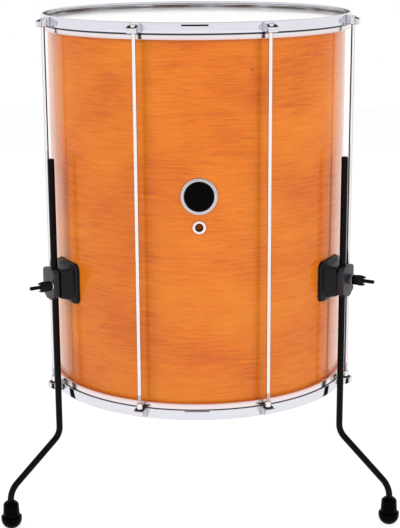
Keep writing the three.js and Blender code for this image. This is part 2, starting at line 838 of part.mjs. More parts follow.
// A rubber foot: a tapering neck that grips the leg, standing in a shallow bowl with a raised lip.
function makeFoot(side) {
  const bowlZ = Math.sqrt(footBowlR ** 2 - footPatchR ** 2);
  const patchAngle = Math.asin(footPatchR / footBowlR);
  const bowl = Array.from({ length: bowlSteps }, (_, i) => {
    const angle = patchAngle + ((Math.PI / 2 - patchAngle) * (i + 1)) / bowlSteps;
    return [footBowlR * Math.sin(angle), bowlZ - footBowlR * Math.cos(angle)];
  });
  const lipZ = bowlZ + footLipRise;
  const foot = turned(
    [
      [0, 0],
      [footPatchR, 0],
      ...bowl,
      [footBowlR, lipZ],
      [footBowlR - footLipThick, lipZ],
      [footNeckR, lipZ - footGroove],
      [footNeckTopR, footHigh - footShoulder],
      [footNeckTopR - footShoulder, footHigh],
      [legR + fitGap, footHigh],
      [legR + fitGap, footSole],
      [0, footSole],
    ],
    smallSides,
  );
  return piece(`rubber_foot_${side}`, foot.translate([0, -footCircleR, 0]), "rubber");
}

// The drum: shell, heads, hoops, rods and nuts round one upright axis.
const drum = new THREE.Group();
drum.add(makeShell());
drum.add(makeHead("batter_head", "top"), makeHead("bottom_head", "bottom"));
drum.add(makeFleshHoop("flesh_hoop_top", "top"), makeFleshHoop("flesh_hoop_bottom", "bottom"));
drum.add(makeCounterHoop("counter_hoop_top", "top"), makeCounterHoop("counter_hoop_bottom", "bottom"));
lugAngles().forEach((angle, i) => {
  for (const made of [makeTensionRod(i + 1), makeTuningNut(i + 1)]) {
    made.position.set(rodCircleR * Math.sin(angle), -rodCircleR * Math.cos(angle), 0);
    made.rotation.z = angle;
    drum.add(made);
  }
});
drum.add(...makeBadge(), ...makeVent());

// The stand: at each leg's angle, a bracket at its height on the shell, the leg and its foot.
for (const [side, angle] of Object.entries(legAngles)) {
  const leg = new THREE.Group();
  leg.rotation.z = THREE.MathUtils.degToRad(angle);
  const bracket = new THREE.Group();
  bracket.position.z = bracketZ;
  bracket.add(makeBracketBase(side), makeGasket(side), makeBackingPlate(side));
  bracket.add(makeJaw(side), makeStud(side), makeWasher(side), makeWingNut(side));
  leg.add(bracket, makeLeg(side), makeFoot(side));
  drum.add(leg);
}
drum.position.y = axisY;

const surdo = new THREE.Group();
surdo.add(drum);

export default surdo;
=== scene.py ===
"""A standing surdo dressed for its portrait: lacquered shell, plastic heads, bright hoops and black stand.

Sizes are in millimetres, as a drum maker writes them, and turn into metres where a mesh is made. Every
piece is shaped about the drum's own upright axis or about its leg's angle, then set at its place on the
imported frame.
"""

import json
import logging
import math
from abc import ABC, abstractmethod
from collections.abc import Callable, Iterable, Mapping, Sequence
from dataclasses import dataclass, field
from enum import Enum
from typing import NamedTuple

import bmesh
import bpy
from mathutils import Matrix, Vector

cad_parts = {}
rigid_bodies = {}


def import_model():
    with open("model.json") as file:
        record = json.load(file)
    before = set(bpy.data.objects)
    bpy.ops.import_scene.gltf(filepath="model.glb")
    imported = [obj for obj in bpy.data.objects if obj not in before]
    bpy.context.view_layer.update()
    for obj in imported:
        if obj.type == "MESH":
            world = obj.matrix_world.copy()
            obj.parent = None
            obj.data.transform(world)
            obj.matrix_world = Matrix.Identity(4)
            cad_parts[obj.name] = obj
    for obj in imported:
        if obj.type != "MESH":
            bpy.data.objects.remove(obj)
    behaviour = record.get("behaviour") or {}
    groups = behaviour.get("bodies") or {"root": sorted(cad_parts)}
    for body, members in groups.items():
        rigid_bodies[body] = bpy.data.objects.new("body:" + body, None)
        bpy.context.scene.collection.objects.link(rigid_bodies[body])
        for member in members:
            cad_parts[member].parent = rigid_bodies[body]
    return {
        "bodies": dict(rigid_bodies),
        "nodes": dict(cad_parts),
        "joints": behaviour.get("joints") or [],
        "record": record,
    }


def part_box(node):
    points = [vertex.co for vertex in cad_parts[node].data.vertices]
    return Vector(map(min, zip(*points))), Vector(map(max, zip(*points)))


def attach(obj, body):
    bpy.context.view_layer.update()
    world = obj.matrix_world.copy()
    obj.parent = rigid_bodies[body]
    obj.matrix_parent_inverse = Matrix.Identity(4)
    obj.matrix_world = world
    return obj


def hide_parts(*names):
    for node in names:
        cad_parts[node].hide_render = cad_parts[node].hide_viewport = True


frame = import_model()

log = logging.getLogger("surdo")

MM = 0.001
Pair = tuple[float, float]
Triple = tuple[float, float, float]


# Places and names


class End(Enum):
    """An end of the drum: which way it faces and how its nodes are named."""

    TOP = 1
    BOTTOM = -1

    @property
    def word(self) -> str:
        """The end's word in a node's name."""
        return self.name.lower()


class Side(Enum):
    """A leg's side of the drum, as its angle round the drum in degrees from the badge."""

    LEFT = -60
    RIGHT = 60
    BACK = 180

    @property
    def word(self) -> str:
        """The side's word in a node's name."""
        return self.name.lower()

    @property
    def wing_tilt(self) -> float:
        """How far this side's wing nut has stopped past upright, in degrees."""
        return -70.0 if self is Side.RIGHT else 70.0


class Frame:
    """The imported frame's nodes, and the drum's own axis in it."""

    def __init__(self, loaded: Mapping[str, object]) -> None:
        """Reads the frame.
        """
        self.nodes = loaded["nodes"]
        low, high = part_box("shell")
        self.axis = Matrix.Translation(Vector(((low.x + high.x) / 2, (low.y + high.y) / 2, 0)))

    def at(self, angle: float = 0.0) -> Matrix:
        """The place of a piece that stands at an angle round the drum.

        Args:
            angle: Degrees from the badge, counted towards the drum's right side.

        Returns:
            The matrix from that angle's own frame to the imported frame.
        """
        return self.axis @ Matrix.Rotation(math.radians(angle), 4, "Z")


OUTWARD = Matrix(((1, 0, 0, 0), (0, 0, -1, 0), (0, 1, 0, 0), (0, 0, 0, 1)))
UPRIGHT = Matrix(((1, 0, 0, 0), (0, 0, 1, 0), (0, 1, 0, 0), (0, 0, 0, 1)))


def outward_at(aside: float, out: float, z: float) -> Matrix:
    """A place whose own Z axis points out of the drum.

    Args:
        aside: Distance to the side of the angle's line, in mm.
        out: Distance from the drum's axis, in mm.
        z: Height in mm.

    Returns:
        The matrix, in mm.
    """
    return Matrix.Translation((aside, -out, z)) @ OUTWARD


# Outlines


def arc(centre: Pair, radius: float, start: float, stop: float, steps: int) -> list[Pair]:
    """Points along a round arc.

    Args:
        centre: The arc's centre.
        radius: Its radius.
        start: Its first angle in degrees.
        stop: Its last angle in degrees.
        steps: How many chords it is drawn with.

    Returns:
        The points, both ends included.
    """
    turns = [math.radians(start + (stop - start) * i / steps) for i in range(steps + 1)]
    return [(centre[0] + radius * math.cos(t), centre[1] + radius * math.sin(t)) for t in turns]


def softened(corners: Sequence[Triple], steps: int = 4, closed: bool = True) -> list[Pair]:
    """Rounds the corners of an outline.

    Args:
        corners: Points as (x, y, corner radius). A corner of radius zero stays sharp.
        steps: Chords in each rounded corner.
        closed: Whether the outline runs back to its first point.

    Returns:
        The outline's points, with an arc at each rounded corner.
    """
    made: list[Pair] = []
    count = len(corners)
    for i, (x, y, radius) in enumerate(corners):
        here = Vector((x, y))
        if radius <= 0 or (not closed and i in (0, count - 1)):
            made.append((x, y))
            continue
        before = Vector(corners[i - 1][:2]) - here
        after = Vector(corners[(i + 1) % count][:2]) - here
        half = before.angle(after) / 2
        reach = min(radius / math.tan(half), before.length * 0.49, after.length * 0.49)
        radius = reach * math.tan(half)
        middle = here + (before.normalized() + after.normalized()).normalized() * (radius / math.sin(half))
        first = here + before.normalized() * reach - middle
        last = here + after.normalized() * reach - middle
        sweep = first.angle_signed(last)
        for k in range(steps + 1):
            turn = -sweep * k / steps
            spun = Vector((first.x * math.cos(turn) - first.y * math.sin(turn),
                           first.x * math.sin(turn) + first.y * math.cos(turn)))
            made.append((middle.x + spun.x, middle.y + spun.y))
    return made


def rounded_rect(wide: float, high: float, corner: float, steps: int = 6) -> list[Pair]:
    """A rectangle about its middle with rounded corners, counterclockwise.

    Args:
        wide: Its width.
        high: Its height.
        corner: The radius of its corners.
        steps: Chords in each corner.

    Returns:
        The outline's points.
    """
    x, y = wide / 2 - corner, high / 2 - corner
    quarters = (((x, y), 0), ((-x, y), 90), ((-x, -y), 180), ((x, -y), 270))
    return [p for middle, start in quarters for p in arc(middle, corner, start, start + 90, steps)]


def circle(radius: float, sides: int) -> list[Pair]:
    """A round outline about its middle.

    Args:
        radius: Its radius.
        sides: How many points it has.

    Returns:
        The outline's points.
    """
    return arc((0, 0), radius, 0, 360 - 360 / sides, sides - 1)


def shrunk(outline: Sequence[Pair], by: float) -> list[Pair]:
    """Moves every edge of a convex, counterclockwise outline inward.

    Args:
        outline: Its points.
        by: How far each edge moves.

    Returns:
        The smaller outline, with as many points.
    """
    made: list[Pair] = []
    count = len(outline)
    for i in range(count):
        here = Vector(outline[i])
        before = (here - Vector(outline[i - 1])).normalized()
        after = (Vector(outline[(i + 1) % count]) - here).normalized()
        inward = Vector((-before.y - after.y, before.x + after.x)).normalized()
        made.append(tuple(here + inward * (by / inward.dot(Vector((-before.y, before.x))))))
    return made


# Skins


class Skin:
    """Points and faces of a piece while it is being shaped, in millimetres."""

    def __init__(self) -> None:
        """Starts with nothing."""
        self.points: list[Vector] = []
        self.faces: list[tuple[int, ...]] = []
        self.tags: list[int] = []

    def loft(self, rings: Sequence[Sequence[Sequence[float]]], loop: bool = False, caps: bool = True,
             tag: int = 0) -> "Skin":
        """Adds a skin through rings of equal point count.

        Args:
            rings: Each ring's points in order round it.
            loop: Whether the last ring joins the first.
            caps: Whether the end rings are closed.
            tag: Which of the piece's finishes the faces take.

        Returns:
            This skin.
        """
        first, count = len(self.points), len(rings[0])
        self.points += [Vector(p) for ring in rings for p in ring]
        made: list[tuple[int, ...]] = []
        for s in range(len(rings) if loop else len(rings) - 1):
            near, far = first + s * count, first + ((s + 1) % len(rings)) * count
            for i in range(count):
                beside = (i + 1) % count
                made.append((near + i, near + beside, far + beside, far + i))
        if caps and not loop:
            last = first + (len(rings) - 1) * count
            made += [tuple(range(first + count - 1, first - 1, -1)), tuple(range(last, last + count))]
        self.faces += made
        self.tags += [tag] * len(made)
        return self

    def turned(self, outline: Sequence[Pair], sides: int, loop: bool = True, tag: int = 0) -> "Skin":
        """Adds an outline of (radius, height) turned round the Z axis.

        Args:
            outline: The outline. It closes on itself, or runs from near the axis back to near the axis.
            sides: Facets round the axis.
            loop: Whether the outline closes on itself.
            tag: Which of the piece's finishes the faces take.

        Returns:
            This skin.
        """
        spins = [2 * math.pi * i / sides for i in range(sides)]
        rings = [[(r * math.sin(a), -r * math.cos(a), z) for a in spins] for r, z in outline]
        return self.loft(rings, loop=loop, tag=tag)

    def raised(self, outline: Sequence[Pair], low: float, high: float, edge: float = 0.0, steps: int = 3,
               tag: int = 0) -> "Skin":
        """Adds a convex outline raised along Z, with rounded edges at both ends.

        Args:
            outline: The outline, counterclockwise in X and Y.
            low: Where it starts.
            high: Where it ends.
            edge: The radius of its end edges.
            steps: Chords in each rounded edge.
            tag: Which of the piece's finishes the faces take.

        Returns:
            This skin.
        """
        bends = [math.pi / 2 * i / steps for i in range(steps + 1)]
        levels = [(low + edge * (1 - math.sin(b)), edge * (1 - math.cos(b))) for b in reversed(bends)]
        levels += [(high - edge * (1 - math.sin(b)), edge * (1 - math.cos(b))) for b in bends]
        if edge <= 0:
            levels = [(low, 0.0), (high, 0.0)]
        rings = []
        for z, inset in levels:
            level = shrunk(outline, inset) if inset > 0 else outline
            rings.append([(x, y, z) for x, y in level])
        return self.loft(rings, tag=tag)

    def placed(self, matrix: Matrix) -> "Skin":
        """Moves every point, and returns this skin."""
        self.points = [matrix @ p for p in self.points]
        return self

    def with_copy(self, other: "Skin", matrix: Matrix | None = None) -> "Skin":
        """Adds another skin to this one.

        Args:
            other: The skin that is copied in.
            matrix: Where its copy goes.

        Returns:
            This skin.
        """
        first = len(self.points)
        self.points += [matrix @ p if matrix else p.copy() for p in other.points]
        self.faces += [tuple(first + i for i in face) for face in other.faces]
        self.tags += other.tags
        return self

    def shaped(self, rule: Callable[[Vector], Vector]) -> "Skin":
        """Moves every point by a rule, and returns this skin."""
        self.points = [rule(p) for p in self.points]
        return self

    def mesh(self, name: str) -> bpy.types.Mesh:
        """Makes the skin a closed mesh in metres, with its normals outward.

        Args:
            name: The mesh's name.

        Returns:
            The mesh.
        """
        made = bpy.data.meshes.new(name)
        made.from_pydata([p * MM for p in self.points], [], self.faces)
        made.polygons.foreach_set("material_index", self.tags)
        body = bmesh.new()
        body.from_mesh(made)
        bmesh.ops.remove_doubles(body, verts=body.verts, dist=1e-6)
        bmesh.ops.recalc_face_normals(body, faces=body.faces)
        body.to_mesh(made)
        body.free()
        return made


@dataclass(frozen=True)
class Bevel:
    """A rounding of every edge that is sharper than an angle."""

    width: float
    segments: int = 3
    angle: float = 40.0


class Bench:
    """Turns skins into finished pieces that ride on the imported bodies."""

    def __init__(self, place: Frame) -> None:
        """Keeps the frame that the pieces are set on.

        Args:
            place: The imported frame.
        """
        self.place = place
        self.count = 0

    def piece(self, name: str, skin: Skin, body: str, finishes: Sequence["Finish"],
              stands_for: Sequence[str] = (), matrix: Matrix | None = None, bevel: Bevel | None = None,
              cuts: Iterable[Skin] = (), sorter: Callable[[Vector, Vector], int] | None = None,
              crisp: float = 35.0) -> bpy.types.Object:
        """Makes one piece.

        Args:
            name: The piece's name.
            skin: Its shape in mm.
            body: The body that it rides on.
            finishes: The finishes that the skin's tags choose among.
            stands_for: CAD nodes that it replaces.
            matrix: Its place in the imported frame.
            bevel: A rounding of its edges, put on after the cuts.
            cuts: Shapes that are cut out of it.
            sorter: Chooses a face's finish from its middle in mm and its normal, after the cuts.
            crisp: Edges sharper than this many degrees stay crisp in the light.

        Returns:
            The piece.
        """
        made = bpy.data.objects.new(name, skin.mesh(name))
        bpy.context.scene.collection.objects.link(made)
        for finish in finishes:
            made.data.materials.append(finish.material())
        for cut in cuts:
            self._boolean(made, cut)
        if bevel:
            self._round_edges(made, bevel)
        if sorter:
            for face in made.data.polygons:
                face.material_index = sorter(face.center / MM, face.normal)
        made.data.shade_smooth()
        made.data.set_sharp_from_angle(angle=math.radians(crisp))
        where = matrix or self.place.at()
        made.data.transform(where.to_3x3().to_4x4())
        made.matrix_world = Matrix.Translation(where.translation)
        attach(made, body)
        if stands_for:
            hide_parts(*stands_for)
        self.count += 1
        return made

    def _round_edges(self, made: bpy.types.Object, bevel: Bevel) -> None:
        """Rounds a piece's edges, and settles it.

        Args:
            made: The piece.
            bevel: The rounding.
        """
        modifier = made.modifiers.new("edge", "BEVEL")
        modifier.width, modifier.segments = bevel.width * MM, bevel.segments
        modifier.limit_method, modifier.angle_limit = "ANGLE", math.radians(bevel.angle)
        modifier.use_clamp_overlap = True
        modifier.harden_normals = False
        self._settle(made)

    def _boolean(self, made: bpy.types.Object, cut: Skin) -> None:
        """Cuts a shape out of a piece, and settles it.

        Args:
            made: The piece.
            cut: The shape.
        """
        tool = bpy.data.objects.new("cutter", cut.mesh("cutter"))
        bpy.context.scene.collection.objects.link(tool)
        modifier = made.modifiers.new("cut", "BOOLEAN")
        modifier.operation, modifier.solver, modifier.object = "DIFFERENCE", "EXACT", tool
        modifier.use_self = True
        self._settle(made)
        mesh = tool.data
        bpy.data.objects.remove(tool)
        bpy.data.meshes.remove(mesh)

    @staticmethod
    def _settle(made: bpy.types.Object) -> None:
        """Applies a piece's modifiers to its mesh.

        Args:
            made: The piece.
        """
        graph = bpy.context.evaluated_depsgraph_get()
        settled = bpy.data.meshes.new_from_object(made.evaluated_get(graph), depsgraph=graph)
        made.modifiers.clear()
        old, made.data = made.data, settled
        bpy.data.meshes.remove(old)


# Shader building


def tint(code: int) -> Triple:
    """Turns a written colour into the linear values that shaders use.

    Args:
        code: The colour as 0xRRGGBB.

    Returns:
        Linear red, green and blue.
    """
    parts = [((code >> shift) & 255) / 255 for shift in (16, 8, 0)]
    return tuple(c / 12.92 if c <= 0.04045 else ((c + 0.055) / 1.055) ** 2.4 for c in parts)


class Signal:
    """A shader node's output that takes part in Python expressions."""

    def __init__(self, board: "Board", socket: bpy.types.NodeSocket) -> None:
        """Wraps an output socket of a board's node.

        Args:
            board: The board that the node is on.
            socket: The output socket.
        """
        self.board = board
        self.socket = socket

    def _with(self, operation: str, first: "Operand", second: "Operand") -> "Signal":
        """Adds a Math node, or a Vector Math node where a colour or vector takes part.

        Args:
            operation: The node's operation.
            first: Its first operand.
            second: Its second operand.

        Returns:
            The node's output.
        """
        plain = all(o.socket.type == "VALUE" if isinstance(o, Signal) else isinstance(o, (int, float))
                    for o in (first, second))
        kind = "ShaderNodeMath" if plain else "ShaderNodeVectorMath"
        return self.board.add(kind, {"operation": operation}, {0: first, 1: second})

    def __add__(self, other: "Operand") -> "Signal":
        """This plus another."""
        return self._with("ADD", self, other)

    __radd__ = __add__

    def __sub__(self, other: "Operand") -> "Signal":
        """This less another."""
        return self._with("SUBTRACT", self, other)

    def __rsub__(self, other: "Operand") -> "Signal":
        """Another less this."""
        return self._with("SUBTRACT", other, self)

    def __mul__(self, other: "Operand") -> "Signal":
        """This times another."""
        return self._with("MULTIPLY", self, other)

    __rmul__ = __mul__

    def step(self, low: float, high: float) -> "Signal":
        """A smooth step from 0 at one value to 1 at another.

        Args:
            low: Where it leaves 0.
            high: Where it reaches 1.

        Returns:
            The stepped value.
        """
        return self.board.add("ShaderNodeMapRange", {"interpolation_type": "SMOOTHSTEP"},
                              {"Value": self, "From Min": low, "From Max": high})


Operand = Signal | float | Sequence[float]


class Board:
    """The node tree of one material or world, with one method for every kind of node."""

    def __init__(self, tree: bpy.types.NodeTree, output: str = "ShaderNodeOutputMaterial") -> None:
        """Clears a node tree and gives it its output.

        Args:
            tree: The tree.
            output: The type of its output node.
        """
        self.tree = tree
        tree.nodes.clear()
        self.output = tree.nodes.new(output)

    def add(self, kind: str, settings: Mapping[str, object] | None = None,
            feeds: Mapping[int | str, Operand] | None = None, out: int | str = 0) -> Signal:
        """Adds a node.

        Args:
            kind: The node's type.
            settings: Its settings, which are set first. stops are a ramp's (place, colour) pairs.
            feeds: Values or links of its sockets, by name or number.
            out: Which output is wanted.

        Returns:
            That output.
        """
        node = self.tree.nodes.new(kind)
        for key, value in (settings or {}).items():
            if key == "stops":
                ramp = node.color_ramp.elements
                while len(ramp) < len(value):
                    ramp.new(0.5)
                for element, (place, colour) in zip(ramp, value):
                    element.position, element.color = place, (*colour, 1.0)
            else:
                setattr(node, key, value)
        for key, value in (feeds or {}).items():
            socket = node.inputs[key]
            if isinstance(value, Signal):
                self.tree.links.new(value.socket, socket)
            elif socket.type == "VALUE":
                socket.default_value = value
            else:
                parts = (value,) * 3 if isinstance(value, (int, float)) else tuple(value)
                socket.default_value = (*parts, 1.0) if socket.type == "RGBA" else parts
        return Signal(self, node.outputs[out])

    def place(self) -> Signal:
        """Where a point lies on the piece, in its own metres."""
        return self.add("ShaderNodeTexCoord", out="Object")

    def height(self, place: Signal) -> Signal:
        """The Z of a place."""
        return self.add("ShaderNodeSeparateXYZ", None, {"Vector": place}, out="Z")

    def length(self, place: Signal) -> Signal:
        """How far a place lies from the origin."""
        return self.add("ShaderNodeVectorMath", {"operation": "LENGTH"}, {0: place}, out="Value")

    def stretched(self, place: Signal, across: float, along: float) -> Signal:
        """A place scaled apart along the two ways of a drum's side.

        Args:
            place: The place.
            across: Scale round the drum.
            along: Scale along its axis.

        Returns:
            The scaled place.
        """
        return place * (across, across, along)

    def noise(self, place: Operand, scale: float, detail: float = 2.0, rough: float = 0.5,
              twist: float = 0.0) -> Signal:
        """Smooth noise about 0.5.

        Args:
            place: Where it is read.
            scale: Cells in a unit of the place.
            detail: How many finer layers it has.
            rough: How strong each finer layer is.
            twist: How far it is distorted.

        Returns:
            The noise.
        """
        return self.add("ShaderNodeTexNoise", None, {"Vector": place, "Scale": scale, "Detail": detail,
                                                     "Roughness": rough, "Distortion": twist})

    def mix(self, share: Operand, first: Operand, second: Operand) -> Signal:
        """Mixes two colours.

        Args:
            share: How much of the second shows.
            first: The first colour.
            second: The second colour.

        Returns:
            The mixed colour.
        """
        return self.add("ShaderNodeMix", {"data_type": "RGBA", "blend_type": "MIX"},
                        {0: share, 6: first, 7: second}, out=2)

    def bump(self, height: Signal, depth: float) -> Signal:
        """A bumped normal.

        Args:
            height: The height from 0 to 1.
            depth: How tall 1 stands, in mm.

        Returns:
            The normal.
        """
        return self.add("ShaderNodeBump", None, {"Strength": 1.0, "Distance": depth * MM, "Height": height})

    def principled(self, **sockets: Operand) -> Signal:
        """Adds the main shader.

        Args:
            **sockets: Its sockets, with words joined by underscores, such as Base_Color.

        Returns:
            The shader.
        """
        feeds = {key.replace("_", " "): value for key, value in sockets.items()}
        return self.add("ShaderNodeBsdfPrincipled", None, feeds)

    def finish(self, shader: Signal) -> None:
        """Sends a shader to the output."""
        self.tree.links.new(shader.socket, self.output.inputs["Surface"])


# Finishes


def banded(value: Signal, middle: float, half: float) -> Signal:
    """A soft line where a value nears a middle.

    Args:
        value: The value.
        middle: Where the line is strongest.
        half: How far from the middle it fades out.

    Returns:
        1 on the line and 0 away from it.
    """
    return value.step(middle - half, middle) * value.step(middle + half, middle)


@dataclass(frozen=True)
class Finish(ABC):
    """A finish of the drum, named by the record's material slot that it belongs to."""

    slot: str
    name: str

    @abstractmethod
    def dress(self, board: Board) -> Signal:
        """Builds the finish's shader.

        Args:
            board: The finish's board.

        Returns:
            The shader.
        """

    def material(self) -> bpy.types.Material:
        """The finish's material, made the first time that it is asked for.

        Returns:
            The material.
        """
        made = bpy.data.materials.get(self.name)
        if made is None:
            made = bpy.data.materials.new(self.name)
            made.use_nodes = True
            board = Board(made.node_tree)
            board.finish(self.dress(board))
        return made


@dataclass(frozen=True)
class Knot:
    """A knot in the veneer: its place on the shell and its size."""

    angle: float
    z: float
    wide: float
    high: float
    depth: float = 1.0


@dataclass(frozen=True)
class LacqueredVeneer(Finish):
    """Amber stain under clear gloss lacquer, over a veneer whose grain runs round the shell."""

    radius: float = 228.6
    deep: int = 0xD46208
    body: int = 0xE3750C
    light: int = 0xEC8618
    fibre: int = 0xA04006
    gloss: float = 0.12
    knots: tuple[Knot, ...] = ()

    def dress(self, board: Board) -> Signal:
        """Builds drifting figure, fine fibres, pores and knots under a clear coat.

        Args:
            board: The finish's board.

        Returns:
            The shader.
        """
        place = board.place()
        drift = board.noise(board.stretched(place, 6.0, 9.0), 1.0, 3.0)
        wave = board.add("ShaderNodeCombineXYZ", None, {"Z": (drift - 0.5) * 0.02})
        grain = place + wave
        cloud = board.noise(board.stretched(grain, 6.0, 9.0), 1.0, 3.0, 0.5)
        streak = board.noise(board.stretched(grain, 19.0, 340.0), 1.0, 3.0, 0.65)
        fibre = board.noise(board.stretched(grain, 26.0, 560.0), 1.0, 2.0, 0.6)
        pore = board.noise(board.stretched(grain, 90.0, 1500.0), 1.0, 1.0, 0.5)
        figure = cloud * 0.55 + streak * 0.45
        stops = ((0.37, tint(self.deep)), (0.5, tint(self.body)), (0.64, tint(self.light)))
        colour = board.add("ShaderNodeValToRGB", {"stops": stops}, {"Fac": figure})
        line = (1.0 - fibre).step(0.53, 0.7) * (1.0 - cloud).step(0.3, 0.6)
        colour = board.mix(line * 0.42, colour, tint(self.fibre))
        dots = (1.0 - pore).step(0.62, 0.74) * streak.step(0.4, 0.6)
        colour = board.mix(dots * 0.35, colour, tint(self.fibre))
        for knot in self.knots:
            colour = self._knotted(board, place, colour, knot)
        height = fibre * 0.6 + dots * -0.5
        facing = board.add("ShaderNodeLayerWeight", None, {"Blend": 0.5}, out="Facing")
        return board.principled(
            Base_Color=colour,
            Roughness=0.42 + streak * 0.12,
            Specular_IOR_Level=0.2,
            Normal=board.bump(height, 0.02),
            Coat_Weight=self.gloss + (1.0 - self.gloss) * facing.step(0.5, 0.8),
            Coat_Roughness=0.1,
            Coat_IOR=2.4,
        )

    def _knotted(self, board: Board, place: Signal, colour: Signal, knot: Knot) -> Signal:
        """Draws a knot over the grain.

        Args:
            board: The finish's board.
            place: Where a point lies on the shell.
            colour: The grain's colour.
            knot: The knot.

        Returns:
            The colour with the knot in it.
        """
        turn = math.radians(knot.angle)
        middle = (self.radius * MM * math.sin(turn), -self.radius * MM * math.cos(turn), knot.z * MM)
        wide, high = 1 / (knot.wide * MM), 1 / (knot.high * MM)
        apart = board.length((place - middle) * (wide, wide, high))
        ragged = apart + (board.noise(place, 160.0, 2.0) - 0.5) * 0.7
        colour = board.mix((1.0 - ragged.step(0.6, 2.2)) * 0.35 * knot.depth, colour, tint(self.deep))
        return board.mix((1.0 - ragged.step(0.3, 0.9)) * 0.8 * knot.depth, colour, tint(0x7A2A08))


@dataclass(frozen=True)
class BareWood(Finish):
    """The unlacquered inside of the shell, with a painted glow that stands in for light coming through the
    heads.
    """

    colour: int = 0xB9713E
    glow: float = 0.4

    def dress(self, board: Board) -> Signal:
        """Builds plain sanded wood with a fine horizontal grain and a painted glow.

        Args:
            board: The finish's board.

        Returns:
            The shader.
        """
        place = board.place()
        streak = board.noise(board.stretched(place, 20.0, 320.0), 1.0, 4.0, 0.6)
        colour = board.mix(streak, tint(self.colour), tint(0x8C4B23))
        return board.principled(
            Base_Color=colour,
            Roughness=0.7,
            Specular_IOR_Level=0.2,
            Normal=board.bump(streak, 0.05),
            # painted glow: the emission stands in for light coming through the heads onto the inside wood
            Emission_Color=colour,
            Emission_Strength=self.glow,
        )


@dataclass(frozen=True)
class PlasticFilm(Finish):
    """A smooth white drum head, faintly clouded, with light marks of play in the middle."""

    colour: int = 0xF1EFF1
    marks: float = 0.0

    def dress(self, board: Board) -> Signal:
        """Builds the film.

        Args:
            board: The finish's board.

        Returns:
            The shader.
        """
        place = board.place()
        cloud = board.noise(place, 14.0, 3.0)
        away = board.length(place * (1.0, 1.0, 0.0))
        smudge = board.noise(board.stretched(place, 60.0, 60.0), 1.0, 4.0, 0.65, 0.6).step(0.52, 0.8)
        worn = (1.0 - away.step(0.03, 0.16)) * smudge * self.marks
        colour = board.mix(cloud * 0.25, tint(self.colour), tint(0xEBE9EC))
        colour = board.mix(worn * 0.25, colour, tint(0xA9A8A6))
        grain = board.noise(place, 900.0, 1.0)
        return board.principled(
            Base_Color=colour,
            Roughness=0.16 + cloud * 0.08 + worn * 0.15,
            Specular_IOR_Level=0.25,
            Normal=board.bump(grain, 0.003),
            Coat_Weight=1.0 - worn * 0.5,
            Coat_Roughness=0.07,
            Coat_IOR=1.32,
        )


@dataclass(frozen=True)
class Polished(Finish):
    """Bright plated metal with a little haze and hairline wear."""

    colour: int = 0xDCDEE4
    rough: float = 0.07
    haze: float = 0.08
    hairline: float = 1.0
    # rim is the plating's colour at grazing angles; a dark rim paints darker reflections along the edges
    rim: int = 0xFFFFFF

    def dress(self, board: Board) -> Signal:
        """Builds the plating.

        Args:
            board: The finish's board.

        Returns:
            The shader.
        """
        place = board.place()
        haze = board.noise(place, 38.0, 4.0, 0.6)
        wipe = board.noise(board.stretched(place, 60.0, 2600.0), 1.0, 2.0)
        cloud = haze.step(0.35, 0.8)
        height = wipe * self.hairline + board.noise(place, 120.0, 2.0) * 0.6
        return board.principled(
            Base_Color=self.tone(board, place),
            Metallic=1.0,
            Roughness=self.rough + cloud * self.haze,
            Normal=board.bump(height, 0.002),
            Specular_Tint=tint(self.rim),
        )

    def tone(self, board: Board, place: Signal) -> Signal:
        """The plating's colour, faintly clouded.

        Args:
            board: The finish's board.
            place: Where a point lies on the piece.

        Returns:
            The colour.
        """
        cloud = board.noise(place, 38.0, 4.0, 0.6).step(0.35, 0.8)
        return board.mix(cloud * 0.2, tint(self.colour), tint(0xD3D5DC))


@dataclass(frozen=True)
class SeamedAlloy(Polished):
    """Bright metal with a painted shadow where the counter hoop shades it and a painted warm reflection
    where it meets the lacquer.
    """

    seam: Pair = (0.0, 1.0)
    warm: Pair = (1.0, 0.0)
    seam_colour: int = 0x1E1E24
    warm_colour: int = 0xE0A894

    def tone(self, board: Board, place: Signal) -> Signal:
        """The metal's colour, from its height on the drum.

        Args:
            board: The finish's board.
            place: Where a point lies on the piece.

        Returns:
            The colour.
        """
        high = board.height(place)
        # painted shadow band under the counter hoop's edge, and painted warm reflection of the lacquer near
        # the shell
        shade = high.step(self.seam[0] * MM, self.seam[1] * MM)
        glow = high.step(self.warm[0] * MM, self.warm[1] * MM)
        with_reflection = board.mix(glow * 0.55, super().tone(board, place), tint(self.warm_colour))
        return board.mix(shade * 0.94, with_reflection, tint(self.seam_colour))


@dataclass(frozen=True)
class SteppedPlating(Polished):
    """The badge rim's plating. Each line of painted shade at the rim's steps has its distance from the
    middle, half width and depth.
    """

    grime: tuple[Triple, ...] = ((22.1, 0.9, 0.8), (24.4, 0.9, 0.75), (26.4, 0.7, 0.85))

    def tone(self, board: Board, place: Signal) -> Signal:
        """The plating's colour, darkened with painted shade at each step.

        Args:
            board: The finish's board.
            place: Where a point lies on the piece.

        Returns:
            The colour.
        """
        away = board.length(place * (1.0, 0.0, 1.0))
        colour = super().tone(board, place)
        for at, half, depth in self.grime:
            line = banded(away, at * MM, half * MM)
            # painted shade line at a step of the rim
            colour = board.mix(line * depth, colour, tint(0x55504E))
        return colour


@dataclass(frozen=True)
class LugInside(Polished):
    """The hollow of a lug: plated near its mouth, and black with painted shade further in."""

    level: Pair = (770.8, 773.2)

    def tone(self, board: Board, place: Signal) -> Signal:
        """The plating's colour, black below the level.

        Args:
            board: The finish's board.
            place: Where a point lies on the piece.

        Returns:
            The colour.
        """
        high = board.height(place)
        # painted shade: black below the level, deep in the hollow and on the top lugs' undersides
        depth = high.step(self.level[1] * MM, self.level[0] * MM)
        return board.mix(depth, super().tone(board, place), tint(0x050506))


